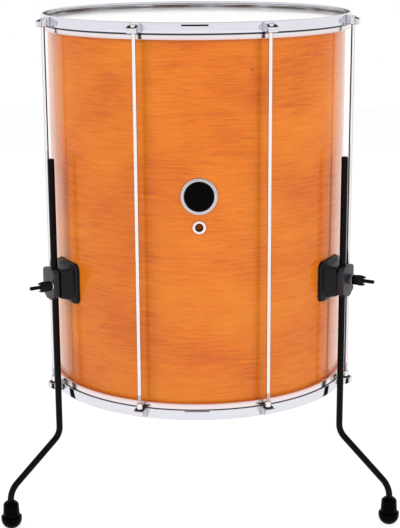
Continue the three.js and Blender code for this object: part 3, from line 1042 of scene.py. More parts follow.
@dataclass(frozen=True)
class LugSide(Polished):
    """The side of a lug, a darker tone of the plating with lines of painted shade. Each line has a distance
    from the drum's axis, a half width and a depth.
    """

    lines: tuple[Triple, ...] = (
        (239.4, 1.1, 0.85),
        (243.4, 1.2, 0.5),
        (251.6, 1.6, 0.6),
        (255.4, 1.0, 0.9),
    )

    def tone(self, board: Board, place: Signal) -> Signal:
        """The plating's colour, darkened with painted shade in each line.

        Args:
            board: The finish's board.
            place: Where a point lies on the piece.

        Returns:
            The colour.
        """
        away = board.length(place * (1.0, 1.0, 0.0))
        wander = away + (board.noise(place, 260.0, 2.0) - 0.5) * 0.0016
        colour = super().tone(board, place)
        for at, half, depth in self.lines:
            line = banded(wander, at * MM, half * MM)
            # painted shade lines on the lug's side
            colour = board.mix(line * depth, colour, tint(0x3C3C42))
        return colour


@dataclass(frozen=True)
class SmokedPlating(Polished):
    """Hoop plating whose inner wall above the head has drifting brown patches of painted reflection and
    shade.
    """

    inner: float = 237.0
    band: Pair = (766.0, 772.2)
    smoke: int = 0x4E3B2E

    def tone(self, board: Board, place: Signal) -> Signal:
        """The plating's colour, with painted reflection and shade on the inner wall.

        Args:
            board: The finish's board.
            place: Where a point lies on the piece.

        Returns:
            The colour.
        """
        height = board.height(place)
        across = board.length(place * (1.0, 1.0, 0.0))
        within = across.step((self.inner + 0.4) * MM, (self.inner - 0.4) * MM)
        low, high = (edge * MM for edge in self.band)
        level = height.step(low, low + MM) * height.step(high, high - 1.5 * MM)
        drift = board.noise(board.stretched(place, 13.0, 120.0), 1.0, 3.0).step(0.36, 0.58)
        # painted brown reflection and shade on the inner wall above the head
        share = within * level * (0.36 + drift * 0.58)
        return board.mix(share, super().tone(board, place), tint(self.smoke))


@dataclass(frozen=True)
class SatinBlack(Finish):
    """Black coating over metal: a little grain, slightly rubbed where it stands proud."""

    colour: int = 0x101114
    worn: int = 0x2A2B2F
    rough: float = 0.42
    grain: float = 900.0
    depth: float = 0.02
    shine: float = 0.3

    def dress(self, board: Board) -> Signal:
        """Builds the coating.

        Args:
            board: The finish's board.

        Returns:
            The shader.
        """
        place = board.place()
        pebble = board.noise(place, self.grain, 2.0, 0.55)
        patch = board.noise(place, 55.0, 4.0, 0.6)
        edge = board.add("ShaderNodeNewGeometry", out="Pointiness").step(0.52, 0.62)
        rub = edge * patch.step(0.4, 0.65)
        colour = board.mix(patch * 0.3 + rub * 0.5, tint(self.colour), tint(self.worn))
        return board.principled(
            Base_Color=colour,
            Roughness=self.rough + patch * 0.1 - rub * 0.08,
            Specular_IOR_Level=self.shine,
            Normal=board.bump(pebble, self.depth),
        )


@dataclass(frozen=True)
class Rubber(Finish):
    """Matt moulded rubber with a fine tooth and a trace of dust."""

    colour: int = 0x0B0B0D
    dust: int = 0x2E2E31
    rough: float = 0.5
    shine: float = 0.3
    tooth: float = 0.03

    def dress(self, board: Board) -> Signal:
        """Builds the rubber.

        Args:
            board: The finish's board.

        Returns:
            The shader.
        """
        place = board.place()
        tooth = board.noise(place, 1500.0, 2.0, 0.6)
        patch = board.noise(place, 70.0, 4.0, 0.65).step(0.45, 0.8)
        low = 1.0 - board.height(place).step(0.0, 0.012)
        colour = board.mix(patch * 0.18 + low * patch * 0.3, tint(self.colour), tint(self.dust))
        return board.principled(
            Base_Color=colour,
            Roughness=self.rough + patch * 0.16,
            Specular_IOR_Level=self.shine,
            Normal=board.bump(tooth, self.tooth),
        )


@dataclass(frozen=True)
class Enamel(Finish):
    """Deep gloss enamel with the slight pull of a brushed coat."""

    colour: int = 0x030304

    def dress(self, board: Board) -> Signal:
        """Builds the enamel.

        Args:
            board: The finish's board.

        Returns:
            The shader.
        """
        place = board.place()
        pull = board.noise(place, 240.0, 2.0)
        speck = board.noise(place, 1400.0, 1.0).step(0.7, 0.8)
        colour = board.mix(speck * 0.2, tint(self.colour), tint(0x1B1B1E))
        return board.principled(
            Base_Color=colour,
            Roughness=0.12 + speck * 0.2,
            Specular_IOR_Level=0.03,
            Normal=board.bump(pull, 0.01),
        )


@dataclass(frozen=True)
class Finishes:
    """Every finish of the drum."""

    shell: Finish = LacqueredVeneer("shell_wood", "lacquered_veneer", knots=(
        Knot(19.3, 709.0, 3.6, 2.6, 0.75),
        Knot(28.2, 636.0, 1.3, 1.2, 1.0),
        Knot(-38.0, 330.0, 2.2, 1.6, 0.7),
        Knot(141.0, 520.0, 3.0, 1.8, 0.9),
        Knot(-118.0, 610.0, 2.6, 1.8, 0.8),
    ))
    inside: Finish = BareWood("shell_wood", "bare_wood")
    batter: Finish = PlasticFilm("head_film", "batter_film", marks=1.0)
    resonant: Finish = PlasticFilm("head_film", "resonant_film")
    # flesh hoops: painted shadow and painted reflection bands; the bottom hoop's pinker colour is painted
    # reflection of the lacquer too
    flesh_top: Finish = SeamedAlloy("flesh_hoop_metal", "satin_alloy_top", colour=0xEDE6E8, rough=0.16,
                                    haze=0.05, seam=(758.2, 758.9), warm=(756.0, 752.0))
    flesh_bottom: Finish = SeamedAlloy("flesh_hoop_metal", "satin_alloy_bottom", colour=0xE8DCDD,
                                       rough=0.16, haze=0.05, seam=(215.4, 214.6), warm=(218.0, 223.0))
    hoop_top: Finish = SmokedPlating("hoop_chrome", "hoop_plating_top", colour=0xE2E2EA)
    # the bottom hoop takes a darker tone of the same chrome: painted shade
    hoop_bottom: Finish = Polished("hoop_chrome", "hoop_plating_bottom", colour=0xDADAE1)
    slot: Finish = SatinBlack("hoop_chrome", "slot_shade", colour=0x050506, worn=0x101012, shine=0.05)
    lug_inside: Finish = LugInside("hoop_chrome", "lug_inside_shade", colour=0xE8E8EE, rough=0.2)
    # lug sides: a darker tone of the hoop plating, with painted shade lines
    lug_side: Finish = LugSide("hoop_chrome", "lug_side_plating", colour=0xDCDCE2)
    # hardware and rods take a dark brown rim: painted reflection of the shaded shell along their edges
    hardware: Finish = Polished("hardware_chrome", "hardware_plating", colour=0xEAE5E4, rough=0.06,
                                rim=0x241E1C)
    rod_shade: Finish = Polished("hardware_chrome", "rod_plating_shaded", colour=0x4C4648, rough=0.12,
                                 rim=0x241E1C)
    badge_rim: Finish = SteppedPlating("badge_metal", "badge_plating", colour=0xE2E1E4, rough=0.1)
    badge_face: Finish = Enamel("badge_black", "badge_enamel")
    bracket: Finish = SatinBlack("bracket_black", "bracket_coat", colour=0x060608, worn=0x2C2C33,
                                 rough=0.24, grain=700.0, depth=0.006, shine=0.17)
    # the jaw takes a lighter, purplish copy of the bracket's black: painted sheen on its outward face
    jaw: Finish = SatinBlack("bracket_black", "jaw_coat", colour=0x14131B, worn=0x3C3B48, rough=0.34,
                             grain=700.0, shine=0.34)
    gasket: Finish = Rubber("gasket_rubber", "gasket_sheet")
    leg: Finish = SatinBlack("leg_black", "leg_coat", colour=0x030304, worn=0x101013, rough=0.26,
                             grain=1300.0, depth=0.004, shine=0.08)
    wing: Finish = SatinBlack("wing_nut_black", "wing_nut_coat", colour=0x040405, worn=0x161619, rough=0.34,
                              grain=1100.0, shine=0.14)
    foot: Finish = Rubber("foot_rubber", "moulded_rubber", colour=0x010101, dust=0x060607, rough=0.24,
                          shine=0.03, tooth=0.004)
    washer: Finish = SatinBlack("hardware_chrome", "washer_nylon", colour=0x060607, rough=0.5)
    zinc: Finish = Polished("zinc_steel", "bright_zinc", colour=0xC9CBCF, rough=0.24, haze=0.14)


# The drum's sub-assemblies


def soft_box(low: Pair, high: Pair, corner: float, steps: int = 3) -> list[Pair]:
    """A rectangle between two points, with rounded corners.

    Args:
        low: Its lowest X and Y.
        high: Its highest X and Y.
        corner: The radius of its corners.
        steps: Chords in each corner.

    Returns:
        The outline's points.
    """
    places = (low, (high[0], low[1]), high, (low[0], high[1]))
    return softened([(x, y, corner) for x, y in places], steps)


def drill(radius: float, sides: int, reach: float = 20.0) -> Skin:
    """A round cutter along Z, about the origin.

    Args:
        radius: Its radius.
        sides: Facets round it.
        reach: How far it runs to either side.

    Returns:
        The cutter.
    """
    near = 0.01
    side = [(near, -reach), (radius, -reach), (radius, reach), (near, reach)]
    return Skin().turned(side, sides, loop=False)


@dataclass
class Assembly(ABC):
    """A sub-assembly of the drum, with the bench that its pieces are made on and the drum's finishes."""

    bench: Bench
    finishes: Finishes

    @abstractmethod
    def build(self) -> list[bpy.types.Object]:
        """Builds the sub-assembly.

        Returns:
            Its pieces.
        """


@dataclass
class Shell(Assembly):
    """The wooden tube with a bearing edge at each end and the vent hole."""

    outer: float = 228.6
    wall: float = 7.5
    low: float = 208.25
    depth: float = 558.8
    edge_round: float = 2.0
    edge_flat: float = 0.4
    edge_bevel: float = 5.0
    vent_z: float = 487.25
    vent_hole: float = 7.2
    vent_band: float = 9.0
    sides: int = 240

    @property
    def high(self) -> float:
        """The height of the shell's top edge."""
        return self.low + self.depth

    def end(self, end: End, out: float) -> float:
        """A height at one end of the drum, counted outward from the shell's end."""
        return self.high + out if end is End.TOP else self.low - out

    def at_end(self, end: End, outline: Sequence[Pair]) -> list[Pair]:
        """Sets an outline at one end of the drum.

        Args:
            end: The end.
            outline: Points as (radius, distance outward from the shell's end).

        Returns:
            Points as (radius, height).
        """
        return [(radius, self.end(end, out)) for radius, out in outline]

    def build(self) -> list[bpy.types.Object]:
        """Builds the shell: lacquered outside, bare inside and on its bevels.

        Returns:
            The shell alone, in a list.
        """
        skin = Skin().turned(self._section(), self.sides)
        lacquered = self.outer - self.edge_round / 2
        skin.tags = [int(min(Vector(skin.points[i][:2]).length for i in face) < lacquered)
                     for face in skin.faces]
        hole = drill(self.vent_hole, 48).placed(outward_at(0, self.outer - self.wall / 2, self.vent_z))
        return [self.bench.piece("shell_tube", skin, "drum", (self.finishes.shell, self.finishes.inside),
                                 ("shell",), cuts=(hole,))]

    def _section(self) -> list[Pair]:
        """The wall's section, with a row of points above and below the vent.

        Returns:
            Points as (radius, height).
        """
        inner = self.outer - self.wall
        edge = self.outer - self.edge_round
        below, above = self.vent_z - self.vent_band, self.vent_z + self.vent_band
        return [
            (inner, self.low + self.edge_bevel),
            (edge - self.edge_flat, self.low),
            *arc((edge, self.low + self.edge_round), self.edge_round, -90, 0, 5),
            (self.outer, below),
            (self.outer, above),
            *arc((edge, self.high - self.edge_round), self.edge_round, 0, 90, 5),
            (edge - self.edge_flat, self.high),
            (inner, self.high - self.edge_bevel),
            (inner, above),
            (inner, below),
        ]


@dataclass
class Head(Assembly):
    """A plastic head at one end: the film, drawn over the bearing edge, and the flesh hoop that holds it."""

    shell: Shell
    end: End
    film: float = 0.5
    gap: float = 0.3
    skirt: float = 1.8
    middle: float = 0.5
    rows: tuple[float, ...] = (60.0, 140.0, 200.0)
    hoop_wide: float = 6.7
    hoop_high: float = 13.4
    hoop_round: float = 1.3
    hoop_inner_round: float = 0.4
    sides: int = 240

    def build(self) -> list[bpy.types.Object]:
        """Builds the film and its flesh hoop.

        Returns:
            The two pieces.
        """
        on_top = self.end is End.TOP
        film = Skin().turned(self.shell.at_end(self.end, self._film()), self.sides)
        node = "batter_head" if on_top else "bottom_head"
        plastic = self.finishes.batter if on_top else self.finishes.resonant
        made = [self.bench.piece(f"{node}_film", film, "drum", (plastic,), (node,), crisp=50)]
        ring = Skin().turned(self.shell.at_end(self.end, self._hoop()), self.sides)
        node = f"flesh_hoop_{self.end.word}"
        alloy = self.finishes.flesh_top if on_top else self.finishes.flesh_bottom
        made.append(self.bench.piece(f"{node}_ring", ring, "drum", (alloy,), (node,)))
        return made

    def _film(self) -> list[Pair]:
        """The film's section: out over the bearing edge, down the skirt and back on its inner side.

        Returns:
            Points as (radius, distance outward from the shell's end).
        """
        rim = self.shell.outer + self.gap
        top = self.gap + self.film
        bend = self.shell.edge_round + self.film
        hem = top - self.film - self.skirt
        turn = (rim + self.film - bend, top - bend)
        return [
            (self.middle, top),
            *((radius, top) for radius in self.rows),
            *arc(turn, bend, 90, 0, 6),
            (rim + self.film, hem),
            (rim, hem),
            *arc(turn, bend - self.film, 0, 90, 6),
            (self.rows[-1], self.gap),
            (self.middle, self.gap),
        ]

    def _hoop(self) -> list[Pair]:
        """The flesh hoop's section.

        Returns:
            Points as (radius, distance outward from the shell's end).
        """
        rim = self.shell.outer + self.gap
        inner, outer = -self.skirt - self.hoop_high, -self.skirt
        return softened([
            (rim, inner, self.hoop_inner_round),
            (rim + self.hoop_wide, inner, self.hoop_round),
            (rim + self.hoop_wide, outer, self.hoop_round),
            (rim, outer, self.hoop_inner_round),
        ], 5)


@dataclass
class CounterHoop(Assembly):
    """A rolled steel band with a rim and a pressing ledge, and the folded lug boxes welded round it."""

    shell: Shell
    end: End
    inner: float = 236.0
    outer: float = 238.3
    high: float = 15.0
    proud: float = 9.25
    rim_inner: float = 234.3
    rim_high: float = 3.2
    rim_step: float = 0.7
    ledge_inner: float = 229.8
    ledge: Pair = (-1.5, 0.8)
    lug_count: int = 8
    lug_turn: float = 1.4
    rod_circle: float = 247.0
    lug_outer: float = 256.6
    lug_half: float = 8.0
    lug_round: float = 2.8
    lug_mouth: float = 8.35
    lug_wall_high: float = 7.5
    lug_edge: float = 1.6
    lug_weld: float = 0.4
    lug_shelf: float = 2.6
    hollow: Pair = (12.0, 15.2)
    hollow_round: float = 1.2
    hole: float = 4.7
    clear: float = 5.0
    slot_turns: Pair = (-5.6, 3.4)
    slot_cut: Pair = (-0.9, 1.0)
    plate: Pair = (-3.9, 3.7)
    plate_skin: Pair = (-0.4, 0.35)
    sides: int = 240

    def lug_angles(self) -> list[float]:
        """The angle of each lug round the drum, in degrees."""
        return [self.lug_turn + 360 / self.lug_count * (i + 0.5) for i in range(self.lug_count)]

    @property
    def slot(self) -> Pair:
        """Where the slot over the joint plate lies, counted outward from the shell's end."""
        return (4.2, 6.5) if self.end is End.TOP else (-5.3, -4.2)

    @property
    def inside(self) -> float:
        """Where the band's inward edge lies, counted outward from the shell's end."""
        return self.proud - self.high

    def build(self) -> list[bpy.types.Object]:
        """Builds the band, the plate over its joint and its lugs.

        Returns:
            The pieces.
        """
        node = f"counter_hoop_{self.end.word}"
        plating = self.finishes.hoop_top if self.end is End.TOP else self.finishes.hoop_bottom
        ring = Skin().turned(self.shell.at_end(self.end, self._section()), self.sides)
        slot = self._strap(self.slot_cut, self.slot)
        cover = self._strap(self.plate_skin, self.plate)
        made = [
            self.bench.piece(f"{node}_band", ring, "drum", (plating, self.finishes.slot), (node,),
                             cuts=(slot,), sorter=self._band_face),
            self.bench.piece(f"{node}_joint_plate", cover, "drum", (plating,), bevel=Bevel(0.15, 2)),
        ]
        box, cutters = self._lug()
        platings = (plating, self.finishes.lug_inside, self.finishes.lug_side)
        for number, angle in enumerate(self.lug_angles(), 1):
            made.append(self.bench.piece(f"lug_{self.end.word}_{number}", box, "drum", platings,
                                         matrix=self.bench.place.at(angle), cuts=cutters,
                                         bevel=Bevel(0.45, 3), sorter=self._lug_face))
        return made

    def _section(self) -> list[Pair]:
        """The band's section, with its rim and its ledge.

        Returns:
            Points as (radius, distance outward from the shell's end).
        """
        low, high = self.ledge
        under_rim = self.proud - self.rim_high
        return softened([
            (self.inner, self.inside, 0.5),
            (self.outer, self.inside, 0.7),
            (self.outer, self.proud, 1.1),
            (self.rim_inner, self.proud, 1.1),
            (self.rim_inner, under_rim, 0.6),
            (self.inner, under_rim - self.rim_step, 0.4),
            (self.inner, high, 0.3),
            (self.ledge_inner, high, 0.4),
            (self.ledge_inner, low, 0.4),
            (self.inner, low, 0.3),
        ], 4)

    def _strap(self, skin: Pair, outs: Pair) -> Skin:
        """A strap along the band's joint.

        Args:
            skin: Where its inner and outer sides lie, counted from the band's outside.
            outs: Where it starts and ends, counted outward from the shell's end.

        Returns:
            The strap.
        """
        near, far = (self.outer + depth for depth in skin)
        start, stop = (self.shell.end(self.end, out) for out in outs)
        return strap((near, far), (start, stop), self.slot_turns)

    def _band_face(self, middle: Vector, _normal: Vector) -> int:
        """Which finish a face of the band takes.

        Args:
            middle: The face's middle in mm.
            _normal: Its normal, which isn't needed.

        Returns:
            1 within the slot, otherwise 0.
        """
        hair = 0.01
        away, aside = Vector(middle[:2]).length, math.degrees(math.atan2(middle.x, -middle.y))
        out = (middle.z - self.shell.end(self.end, 0)) * self.end.value
        start, stop = self.slot_turns
        level = min(self.slot) - hair < out < max(self.slot) + hair
        sunk = self.outer - 1.0 < away < self.outer - 0.1
        return int(level and sunk and start - hair < aside < stop + hair)

    def _lug_face(self, middle: Vector, normal: Vector) -> int:
        """Which finish a face of a lug takes.

        Args:
            middle: The face's middle in mm.
            normal: Its normal.

        Returns:
            0 for the open faces, 1 for the painted shade of the hollow and of the side towards the shell, 2
            for the two sides, which carry painted shade lines.
        """
        slack = 0.2
        aside, behind = (side / 2 + slack for side in self.hollow)
        within = abs(middle.x) < aside and abs(middle.y + self.rod_circle) < behind
        deep = abs(middle.z - self.shell.end(self.end, self.inside)) > self.lug_edge
        # the top lugs' downward faces take the painted shade finish too
        shaded = normal.z * self.end.value < -0.6 and self.end is End.TOP
        if shaded or (within and deep):
            return 1
        return 2 if abs(normal.x) > 0.8 else 0

    def _levels(self, first: float, second: float) -> list[float]:
        """Two heights in rising order, each counted outward from the shell's end."""
        return sorted((self.shell.end(self.end, first), self.shell.end(self.end, second)))

    def _lug(self) -> tuple[Skin, list[Skin]]:
        """The shape of one lug.

        Returns:
            The box, and the cutters of its hollow, its bore and its slanted mouth.
        """
        wide, deep = self.lug_half, self.lug_outer
        back = self.outer - self.lug_edge - self.lug_weld
        outline = softened([(-wide, -deep, self.lug_round), (wide, -deep, self.lug_round), (wide, -back, 0),
                            (-wide, -back, 0)], 6)
        box = Skin().raised(outline, *self._levels(self.inside, self.lug_mouth), self.lug_edge, 5)
        aside, behind = (side / 2 for side in self.hollow)
        room = soft_box((-aside, -self.rod_circle - behind), (aside, -self.rod_circle + behind),
                        self.hollow_round, 4)
        shelf = self.inside + self.lug_shelf
        hollow = Skin().raised(room, *self._levels(shelf, self.lug_mouth + self.clear))
        bore = Skin().raised([(x, y - self.rod_circle) for x, y in circle(self.hole, 32)],
                             *self._levels(self.inside - self.clear, shelf + 1))
        return box, [hollow, bore, self._mouth()]

    def _mouth(self) -> Skin:
        """The cutter that slants a lug's mouth down towards its front.

        Returns:
            The cutter.
        """
        start, across = self.outer + 0.8, 15.0
        mouth, wall = self.lug_mouth, self.inside + self.lug_wall_high
        side = [(start, mouth), (self.lug_outer, wall), (self.lug_outer + self.clear, wall),
                (self.lug_outer + self.clear, mouth + self.clear), (start, mouth + self.clear)]
        return Skin().loft([[(x, -radius, z) for radius, z in self.shell.at_end(self.end, side)]
                            for x in (-across, across)])


@dataclass
class TensionRod(Assembly):
    """A long rod with a square key head and a flange, its rolled thread, and the captive nut at its foot."""

    shell: Shell
    hoop: CounterHoop
    radius: float = 2.8
    flange: float = 5.7
    flange_thick: float = 1.6
    fillet: float = 0.6
    crown: float = 3.4
    key: float = 6.4
    key_high: float = 7.6
    tip_z: float = 203.1
    seat_gap: float = 0.3
    thread_top: float = 236.0
    thread_deep: float = 0.45
    pitch: float = 1.0
    shade_share: float = 0.05
    nut_neck: float = 4.3
    nut_neck_top: float = 223.5
    nut_flange: float = 11.6
    nut_flange_thick: float = 5.0
    nut_clearance: float = 0.3
    washer: Pair = (4.6, 7.6)
    washer_thick: float = 1.0

    def build(self) -> list[bpy.types.Object]:
        """Builds every rod, nut and lug washer.

        Returns:
            The pieces.
        """
        made = []
        rod, nut, washer = self._rod(), self._nut(), self._washer()
        bright = (self.finishes.hardware, self.finishes.rod_shade)
        for number, angle in enumerate(self.hoop.lug_angles(), 1):
            place = self.bench.place.at(angle) @ Matrix.Translation((0, -self.hoop.rod_circle * MM, 0))
            made.append(self.bench.piece(f"rod_{number}_steel", rod, f"rod_{number}", bright,
                                         (f"tension_rod_{number}",), matrix=place,
                                         sorter=self._rod_face))
            made.append(self.bench.piece(f"nut_{number}_turned", nut, "drum", (self.finishes.hardware,),
                                         (f"tuning_nut_{number}",), matrix=place))
            made.append(self.bench.piece(f"lug_washer_{number}", washer, "drum", (self.finishes.washer,),
                                         matrix=place))
        return made

    def _shelf(self, end: End) -> float:
        """The height of the shelf in the lugs of one end."""
        return self.shell.end(end, self.hoop.inside + self.hoop.lug_shelf)

    def _rod_face(self, middle: Vector, _normal: Vector) -> int:
        """Which finish a face of a rod takes.

        Args:
            middle: The face's middle in mm, from the rod's axis.
            _normal: Its normal, which isn't needed.

        Returns:
            1 for the side of the shaft that faces the shell, which stays in shade, otherwise 0.
        """
        return int(middle.y > self.radius * self.shade_share and middle.z < self.shell.high)

    def _rod(self) -> Skin:
        """The rod with its thread, flange and key head.

        Returns:
            The rod.
        """
        seat = self._shelf(End.TOP) + self.seat_gap
        top = seat + self.flange_thick
        neck = self.radius + self.fillet
        shaft = [(self.radius, self.thread_top + 1), (self.radius, seat - self.fillet),
                 *arc((neck, seat - self.fillet), self.fillet, 180, 90, 3)]
        flange = softened([(neck, seat, 0), (self.flange, seat, 0.35), (self.flange, top, 0.6),
                           (self.crown, top, 0)], 3, closed=False)
        skin = Skin().turned([*shaft, *flange[1:], (0.4, top)], 32, loop=False)
        thread = (self.tip_z, self.thread_top + 1.2)
        skin.with_copy(threaded(self.radius, self.thread_deep, self.pitch, *thread, 20))
        half = self.key / 2
        key = soft_box((-half, -half), (half, half), 0.7)
        return skin.with_copy(Skin().raised(key, top - 0.4, top + self.key_high, 0.7, 3))

    def _nut(self) -> Skin:
        """The captive nut: a round neck on a square flange.

        Returns:
            The nut.
        """
        high = self._shelf(End.BOTTOM) - self.seat_gap
        low = high - self.nut_flange_thick
        bore = self.radius + self.nut_clearance
        neck = softened([(bore, low, 0), (self.nut_neck, low, 0), (self.nut_neck, self.nut_neck_top, 0.8),
                         (bore, self.nut_neck_top, 0.3)], 4)
        half = self.nut_flange / 2
        square = soft_box((-half, -half), (half, half), 0.8)
        return Skin().turned(neck, 40).with_copy(Skin().raised(square, low, high, 0.5, 2))

    def _washer(self) -> Skin:
        """The black washer that lies on a bottom lug round the nut's neck.

        Returns:
            The washer.
        """
        rest = self.shell.end(End.BOTTOM, self.hoop.inside)
        face = rest + self.washer_thick
        inner, outer = self.washer
        return Skin().turned(softened([(inner, rest, 0.2), (outer, rest, 0.5), (outer, face, 0.5),
                                       (inner, face, 0.3)], 3), 48)


def threaded(radius: float, depth: float, pitch: float, low: float, high: float, sides: int) -> Skin:
    """A rolled thread along Z with chamfered ends.

    Args:
        radius: Over the crests.
        depth: From crest to root.
        pitch: From crest to crest.
        low: Where it starts.
        high: Where it ends.
        sides: Points round it.

    Returns:
        The thread as a closed skin.
    """
    chamfer, levels_per_turn = 0.8, 6
    levels = math.ceil((high - low) / pitch * levels_per_turn)
    rings = []
    for s in range(levels + 1):
        z = low + (high - low) * s / levels
        end = min(z - low, high - z, chamfer)
        ring = []
        for i in range(sides):
            phase = (z / pitch - i / sides) % 1.0
            cut = depth * (1 - abs(2 * phase - 1)) + (chamfer - end)
            turn = 2 * math.pi * i / sides
            ring.append(((radius - cut) * math.cos(turn), (radius - cut) * math.sin(turn), z))
        rings.append(ring)
    return Skin().loft(rings)


def strap(radii: Pair, heights: Pair, turns: Pair, steps: int = 12) -> Skin:
    """A short strap of even thickness that runs round the drum.

    Args:
        radii: Its inner and outer radius.
        heights: Where it starts and ends along the axis.
        turns: The angles that it runs between, in degrees from the badge.
        steps: Chords along it.

    Returns:
        The strap.
    """
    (inner, outer), (low, high) = radii, heights
    section = [(inner, low), (outer, low), (outer, high), (inner, high)]
    angles = [math.radians(turns[0] + (turns[1] - turns[0]) * i / steps) for i in range(steps + 1)]
    return Skin().loft([[(r * math.sin(a), -r * math.cos(a), z) for r, z in section] for a in angles])


def bent(radius: float) -> Callable[[Vector], Vector]:
    """A rule that lays a flat piece on the drum's side.

    Args:
        radius: The drum's radius where the piece's own height is zero.

    Returns:
        A rule from (aside, up, height over the side) to the drum's frame.
    """
    return lambda p: Vector((p.x, -math.sqrt((radius + p.z) ** 2 - p.x ** 2), p.y))


@dataclass
class Badge(Assembly):
    """The round badge: a stepped bright rim about a bare black disc, both bent to the shell."""

    shell: Shell
    z: float = 532.15
    gap: float = 0.3
    face: float = 21.3
    face_thick: float = 1.5
    face_round: float = 0.5
    face_rows: tuple[float, ...] = (0.4, 5.0, 10.0, 16.0)
    rim: float = 26.5
    rim_thick: float = 2.4
    rim_side: float = 1.1

    def build(self) -> list[bpy.types.Object]:
        """Builds the rim and the face.

        Returns:
            The two pieces.
        """
        place = self.bench.place.at() @ Matrix.Translation((0, 0, self.z * MM))
        rim = Skin().turned(self._rim(), 96)
        face = Skin().turned(self._face(), 96, loop=False)
        made = []
        for name, skin, finish in (("badge_rim", rim, self.finishes.badge_rim),
                                   ("badge_face", face, self.finishes.badge_face)):
            skin.shaped(bent(self.shell.outer + self.gap))
            made.append(self.bench.piece(f"{name}_plate", skin, "drum", (finish,), (name,),
                                         matrix=place))
        return made

    def _rim(self) -> list[Pair]:
        """The rim's section: a low outer step, a groove and a raised inner ring.

        Returns:
            Points as (radius, height over the shell).
        """
        inner, thick = self.face + self.gap, self.rim_thick
        return softened([
            (inner, 0, 0),
            (self.rim, 0, 0),
            (self.rim, self.rim_side, 0.5),
            (self.rim - 1.3, thick - 0.7, 0.4),
            (self.rim - 1.9, thick - 1.0, 0.3),
            (self.rim - 2.3, thick - 0.3, 0.3),
            (inner + 0.9, thick, 0.5),
            (inner, thick - 0.6, 0.3),
        ], 4)

    def _face(self) -> list[Pair]:
        """The disc's section, with rows of points so that it bends evenly.

        Returns:
            Points as (radius, height over the shell).
        """
        edge, shoulder = self.face - self.face_round, self.face_thick - self.face_round
        return [
            *((radius, 0.0) for radius in self.face_rows),
            (self.face, 0.0),
            (self.face, shoulder),
            *arc((edge, shoulder), self.face_round, 0, 90, 4),
            *((radius, self.face_thick) for radius in reversed(self.face_rows)),
        ]


@dataclass
class Vent(Assembly):
    """The air hole's bright eyelet, rolled over at its rim."""

    shell: Shell
    gap: float = 0.3
    bore: float = 5.9
    tube: float = 6.9
    flange: float = 9.75
    flange_thick: float = 1.8
    flange_round: float = 0.95
    reach: float = 9.9

    def build(self) -> list[bpy.types.Object]:
        """Builds the eyelet.

        Returns:
            The eyelet alone, in a list.
        """
        section = softened([
            (self.bore, -self.reach, 0.2),
            (self.tube, -self.reach, 0.2),
            (self.tube, 0, 0),
            (self.flange, 0, 0.3),
            (self.flange, self.flange_thick, self.flange_round),
            (self.bore, self.flange_thick, self.flange_round),
        ], 5)
        skin = Skin().turned(section, 64)
        skin.placed(outward_at(0, self.shell.outer + self.gap, self.shell.vent_z))
        return [self.bench.piece("vent_eyelet", skin, "drum", (self.finishes.hardware,),
                                 ("vent_grommet",))]


class Level(NamedTuple):
    """A ring of a bracket's base: where it lies, its outline, and how far it has left the drum's bend."""

    at: float
    wide: float
    high: float
    corner: float
    flat: float = 0.0

    def ring(self) -> list[Triple]:
        """The ring's points.

        Returns:
            Points as (aside, -distance from the drum's axis, up).
        """
        points = []
        for x, z in rounded_rect(self.wide, self.high, self.corner):
            round_drum = math.sqrt(self.at ** 2 - x ** 2)
            points.append((x, -((1 - self.flat) * round_drum + self.flat * self.at), z))
        return points


def quarter(steps: int) -> list[Pair]:
    """A quarter turn, for rounding an edge.

    Args:
        steps: Chords in it.

    Returns:
        The turn's sine, and 1 less its cosine, at each end of a chord.
    """
    turns = [math.pi / 2 * i / steps for i in range(steps + 1)]
    return [(math.sin(turn), 1 - math.cos(turn)) for turn in turns]


def closed(skin: Skin, ring: Sequence[Triple], curved: bool) -> Skin:
    """Closes an end of a bent piece with rows of faces from side to side.

    Args:
        skin: The piece, open at that end.
        ring: The end's ring, from a rounded rectangle.
        curved: Whether the rows follow the drum's bend.

    Returns:
        The skin.
    """
    steps = 12
    count = len(ring)
    half = count // 2
    first = len(skin.points)
    for i in range(half):
        right = Vector(ring[(half // 2 - 1 - i) % count])
        left = Vector(ring[(half // 2 + i) % count])
        radius = math.hypot(right.x, right.y)
        for k in range(steps + 1):
            point = left.lerp(right, k / steps)
            if curved:
                point.y = -math.sqrt(radius ** 2 - point.x ** 2)
            skin.points.append(point)
    row = steps + 1
    for i in range(half - 1):
        for k in range(steps):
            near = first + i * row + k
            skin.faces.append((near, near + 1, near + row + 1, near + row))
            skin.tags.append(0)
    return skin


